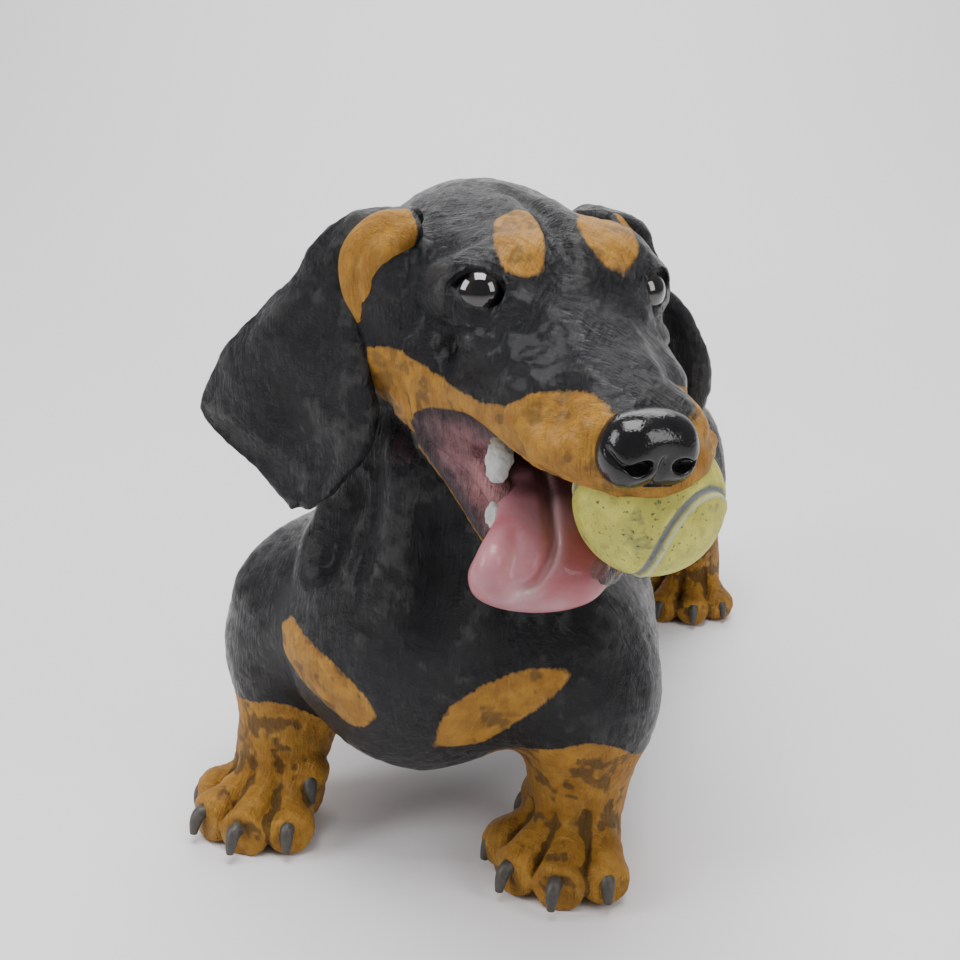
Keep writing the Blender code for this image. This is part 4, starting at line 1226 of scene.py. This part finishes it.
def ball_finish():
    made, tree, shader = finish("ball stain")
    place = add(tree, "ShaderNodeTexCoord").outputs["Object"]
    felt = add(tree, "ShaderNodeTexNoise", Vector=place, Scale=130.0, Detail=6.0, Roughness=0.65)
    blotch = add(tree, "ShaderNodeTexNoise", Vector=place, Scale=42.0, Detail=4.0)
    pits = add(tree, "ShaderNodeTexNoise", Vector=place, Scale=520.0, Detail=2.0)

    def band(value, low, high, top=1.0):
        return add(tree, "ShaderNodeMapRange", {"interpolation_type": "SMOOTHSTEP"},
                   Value=value, _1=low, _2=high, _3=0.0, _4=top).outputs[0]

    def mix(factor, a, b):
        made = add(tree, "ShaderNodeMix", {"data_type": "RGBA"}, Factor=factor)
        for socket, value in ((made.inputs[6], a), (made.inputs[7], b)):
            if isinstance(value, tuple):
                socket.default_value = (*value, 1.0)
            else:
                tree.links.new(value, socket)
        return made.outputs[2]

    tone = mix(band(felt.outputs[0], 0.35, 0.65), (0.38, 0.36, 0.055), (0.55, 0.53, 0.095))
    dirt = add(tree, "ShaderNodeMath", {"operation": "MULTIPLY"}, _0=band(blotch.outputs[0], 0.47, 0.62),
               _1=band(felt.outputs[0], 0.45, 0.6)).outputs[0]
    tone = mix(add(tree, "ShaderNodeMath", {"operation": "MULTIPLY"}, _0=dirt, _1=0.75).outputs[0], tone,
               (0.13, 0.13, 0.055))
    # The pits are painted darker: painted shade inside them.
    tone = mix(band(pits.outputs[0], 0.66, 0.72, 0.8), tone, (0.05, 0.05, 0.03))
    seam = read(tree, "seam")
    tone = mix(band(seam, 0.15, 0.6), tone, (0.17, 0.18, 0.17))
    tone = mix(band(read(tree, "chalk"), 0.3, 0.9, 0.8), tone, (0.46, 0.48, 0.36))
    tree.links.new(tone, shader.inputs["Base Color"])
    rough = add(tree, "ShaderNodeMapRange", Value=felt.outputs[0], _3=0.5, _4=0.8)
    tree.links.new(rough.outputs[0], shader.inputs["Roughness"])
    deep = band(pits.outputs[0], 0.62, 0.72, -1.4)
    both = add(tree, "ShaderNodeMath", {"operation": "ADD"}, _0=deep, _1=felt.outputs[0])
    bump = add(tree, "ShaderNodeBump", Strength=0.7, Distance=0.0008, Height=both.outputs[0])
    tree.links.new(bump.outputs[0], shader.inputs["Normal"])
    return made


BALL_RADIUS = 34.0
turns = np.linspace(0, 2 * math.pi, 240)
wide, deep = 0.72, 0.28
seam = np.column_stack([wide * np.cos(turns) + deep * np.cos(3 * turns),
                        wide * np.sin(turns) - deep * np.sin(3 * turns),
                        2 * math.sqrt(wide * deep) * np.sin(2 * turns)])
seam_turn = np.array(Euler([math.radians(a) for a in (10.0, 214.1, -115.5)], "XYZ").to_matrix())
seam = seam @ seam_turn.T * BALL_RADIUS + BALL_LOCAL
along = np.roll(seam, -1, axis=0) - np.roll(seam, 1, axis=0)
ball = Clay(BALL_LOCAL - 38, BALL_LOCAL + 38, 0.9, HEAD_TURN, HEAD_AT)
ball.lump(BALL_LOCAL, (BALL_RADIUS, BALL_RADIUS, BALL_RADIUS))
points, faces = whole(*ball.skin())
local = from_head(points)
gap = np.full(len(points), 1e9)
nearest = np.zeros((len(points), 3))
seam_way = np.zeros((len(points), 3))
for place, way in zip(seam, along):
    away = np.linalg.norm(local - place, axis=1)
    nearest = np.where((away < gap)[:, None], place, nearest)
    seam_way = np.where((away < gap)[:, None], way, seam_way)
    gap = np.minimum(gap, away)
out = (local - BALL_LOCAL) / np.linalg.norm(local - BALL_LOCAL, axis=1)[:, None]
turned_to = (np.cross(out, seam_way) * (local - nearest)).sum(1)
aside = np.exp(-(((gap - 2.9) / 1.0) ** 2)) * (turned_to > 0)
local = local - out * (1.7 * np.exp(-((gap / 1.5) ** 2)))[:, None] + out * (0.6 * aside)[:, None]
points = local @ HEAD_TURN.T + HEAD_AT
piece("ball_stained", points, faces, ball_finish(), "ball_yellow", ["ball"], 
      seam=np.exp(-((gap / 1.5) ** 2)), chalk=aside)


# ---------------------------------------------------------------- tongue
# A thick strap of clay laid over the lower lip. It lolls out to one side and turns up at its edge.

def tongue_finish():
    made, tree, shader = finish("tongue glaze")
    place = add(tree, "ShaderNodeTexCoord").outputs["Object"]
    flush = add(tree, "ShaderNodeTexNoise", Vector=place, Scale=34.0, Detail=4.0)
    bud = add(tree, "ShaderNodeTexNoise", Vector=place, Scale=420.0, Detail=3.0)
    tone = add(tree, "ShaderNodeMix", {"data_type": "RGBA"})
    ramp = add(tree, "ShaderNodeMapRange", {"interpolation_type": "SMOOTHSTEP"},
               Value=flush.outputs[0], _1=0.4, _2=0.66)
    tree.links.new(ramp.outputs[0], tone.inputs[0])
    tone.inputs[6].default_value = (0.37, 0.155, 0.18, 1)
    tone.inputs[7].default_value = (0.34, 0.080, 0.10, 1)
    # The tongue is painted darker towards its root, back inside the mouth: painted shade.
    dark = add(tree, "ShaderNodeMix", {"data_type": "RGBA"}, Factor=read(tree, "root"))
    tree.links.new(tone.outputs[2], dark.inputs[6])
    dark.inputs[7].default_value = (0.13, 0.07, 0.075, 1)
    # Painted highlight along one edge of the tongue's groove.
    pale = add(tree, "ShaderNodeMix", {"data_type": "RGBA"}, Factor=read(tree, "ridge"))
    tree.links.new(dark.outputs[2], pale.inputs[6])
    pale.inputs[7].default_value = (0.50, 0.32, 0.32, 1)
    tree.links.new(pale.outputs[2], shader.inputs["Base Color"])
    rough = add(tree, "ShaderNodeMapRange", Value=bud.outputs[0], _3=0.34, _4=0.56)
    tree.links.new(rough.outputs[0], shader.inputs["Roughness"])
    both = add(tree, "ShaderNodeMath", {"operation": "MULTIPLY_ADD"},
               _0=bud.outputs[0], _1=0.3, _2=flush.outputs[0])
    bump = add(tree, "ShaderNodeBump", Strength=0.5, Distance=0.0012, Height=both.outputs[0])
    tree.links.new(bump.outputs[0], shader.inputs["Normal"])
    shader.inputs["Coat Weight"].default_value = 0.2
    return made


tongue = Clay((-66, -140, -112), (30, -6, -40), 1.0, HEAD_TURN, HEAD_AT)
slices = smooth_path([(0, -24, -58, 19, 7), (-5, -56, -61, 22, 7), (-11, -84, -66, 21, 7.5),
                      (-17, -102, -73, 25, 8), (-22, -111, -84, 31, 8.5), (-24, -112, -92, 27, 9)], 4)
for i, (x, y, z, half, thick) in enumerate(slices):
    a, b = slices[max(i - 1, 0)][:3], slices[min(i + 1, len(slices) - 1)][:3]
    slope = math.degrees(math.atan2(b[2] - a[2], -(b[1] - a[1])))
    tongue.lump((x, y, z), (half, 10, thick), (-slope, 0, -12), 6)
# The free edge swells and turns up where the tongue hangs over the lip.
tongue.coil([(-36, -96, -72), (-45, -107, -75), (-48, -112, -82), (-43, -115, -89)], [5, 7, 7, 6], 4)
VIEWED_FROM = (-0.432, -0.789, 0.437)
TONGUE_GROOVE = [(0, -50, -52), (-10, -84, -57), (-16, -103, -64), (-20, -114, -72), (-30, -120, -84),
                 (-44, -118, -88)]
tongue.press(TONGUE_GROOVE, 2.8, 3.8, flatten=VIEWED_FROM, fade=0.15)
points, faces = whole(*tongue.skin())
x, y, z = from_head(points).T
# A paler stripe runs beside the groove, a little to one side: a painted highlight on the groove's edge.
ridge = smooth_path(TONGUE_GROOVE, 8) + (3.5, 0, -2.5)
near = np.min([np.linalg.norm(from_head(points) - p, axis=1) for p in ridge], axis=0)
# The root value darkens the tongue towards the back of the mouth as painted shade.
piece("tongue_glazed", points, faces, tongue_finish(), "tongue_pink", ["tongue"],
      root=np.clip((y + 78) / 34, 0, 1), ridge=0.85 * np.exp(-((near / 3.0) ** 2)))


# ---------------------------------------------------------------- teeth
# Six teeth cut from white clay and left rough, two in each cheek above and below and two at the chin.

def tooth_finish():
    made, tree, shader = finish("tooth clay")
    place = add(tree, "ShaderNodeTexCoord").outputs["Object"]
    chip = add(tree, "ShaderNodeTexNoise", Vector=place, Scale=260.0, Detail=6.0, Roughness=0.7)
    tone = add(tree, "ShaderNodeMix", {"data_type": "RGBA"}, Factor=chip.outputs[0])
    tone.inputs[6].default_value = (0.27, 0.28, 0.25, 1)
    tone.inputs[7].default_value = (0.66, 0.67, 0.66, 1)
    root = add(tree, "ShaderNodeMix", {"data_type": "RGBA"}, Factor=read(tree, "root"))
    tree.links.new(tone.outputs[2], root.inputs[6])
    root.inputs[7].default_value = (0.16, 0.13, 0.08, 1)
    tree.links.new(root.outputs[2], shader.inputs["Base Color"])
    rough = add(tree, "ShaderNodeMapRange", Value=chip.outputs[0], _3=0.35, _4=0.7)
    tree.links.new(rough.outputs[0], shader.inputs["Roughness"])
    bump = add(tree, "ShaderNodeBump", Strength=0.9, Distance=0.0014, Height=chip.outputs[0])
    tree.links.new(bump.outputs[0], shader.inputs["Normal"])
    return made


tooth_clay = tooth_finish()
for side, word in ((-1, "right"), (1, "left")):
    for kind, base, tip, radii in (
        ("upper_cheek_tooth", (33, -76, -34), (34, -77, -53), (5, 7.5, 10.5)),
        ("lower_cheek_tooth", (31, -80, -84), (32, -80, -66), (5, 7, 10.5)),
        ("lower_canine", (9, -110, -88), (11, -113, -77), (4, 4.6, 6.5)),
    ):
        base, tip = np.array(base, float) * (side, 1, 1), np.array(tip, float) * (side, 1, 1)
        centre = (base + tip) / 2
        clay = Clay(centre - 22, centre + 22, 0.6, HEAD_TURN, HEAD_AT)
        clay.lump(centre, radii, blend=3)
        clay.coil([base, centre, tip], [radii[0] * 1.05, radii[0], radii[0] * 0.8], 3)
        # The knife leaves flat sides and a blunt tip.
        blunt = np.full(3, np.linalg.norm(tip - base) * 0.85)
        clay.lump(tip + (tip - base) * 0.9, blunt, blend=1.5, carve=True)
        clay.press([base + (side * 4, -2, 0), tip + (side * 3, -1, 0)], 2.0, 0.7, fade=0.2)
        points, faces = whole(*clay.skin())
        normal = relief_of(points, faces)[1]
        points = points + normal * (0.8 * lumpy(points, 3.5, 9) + 0.5 * lumpy(points, 1.6, 10))[:, None]
        share = ((from_head(points) - base) @ (tip - base)) / ((tip - base) @ (tip - base))
        piece(f"{word}_{kind}_cut", points, faces, tooth_clay, "tooth_white", [f"{word}_{kind}"],
              root=np.clip(0.9 - share * 2.2, 0, 1))
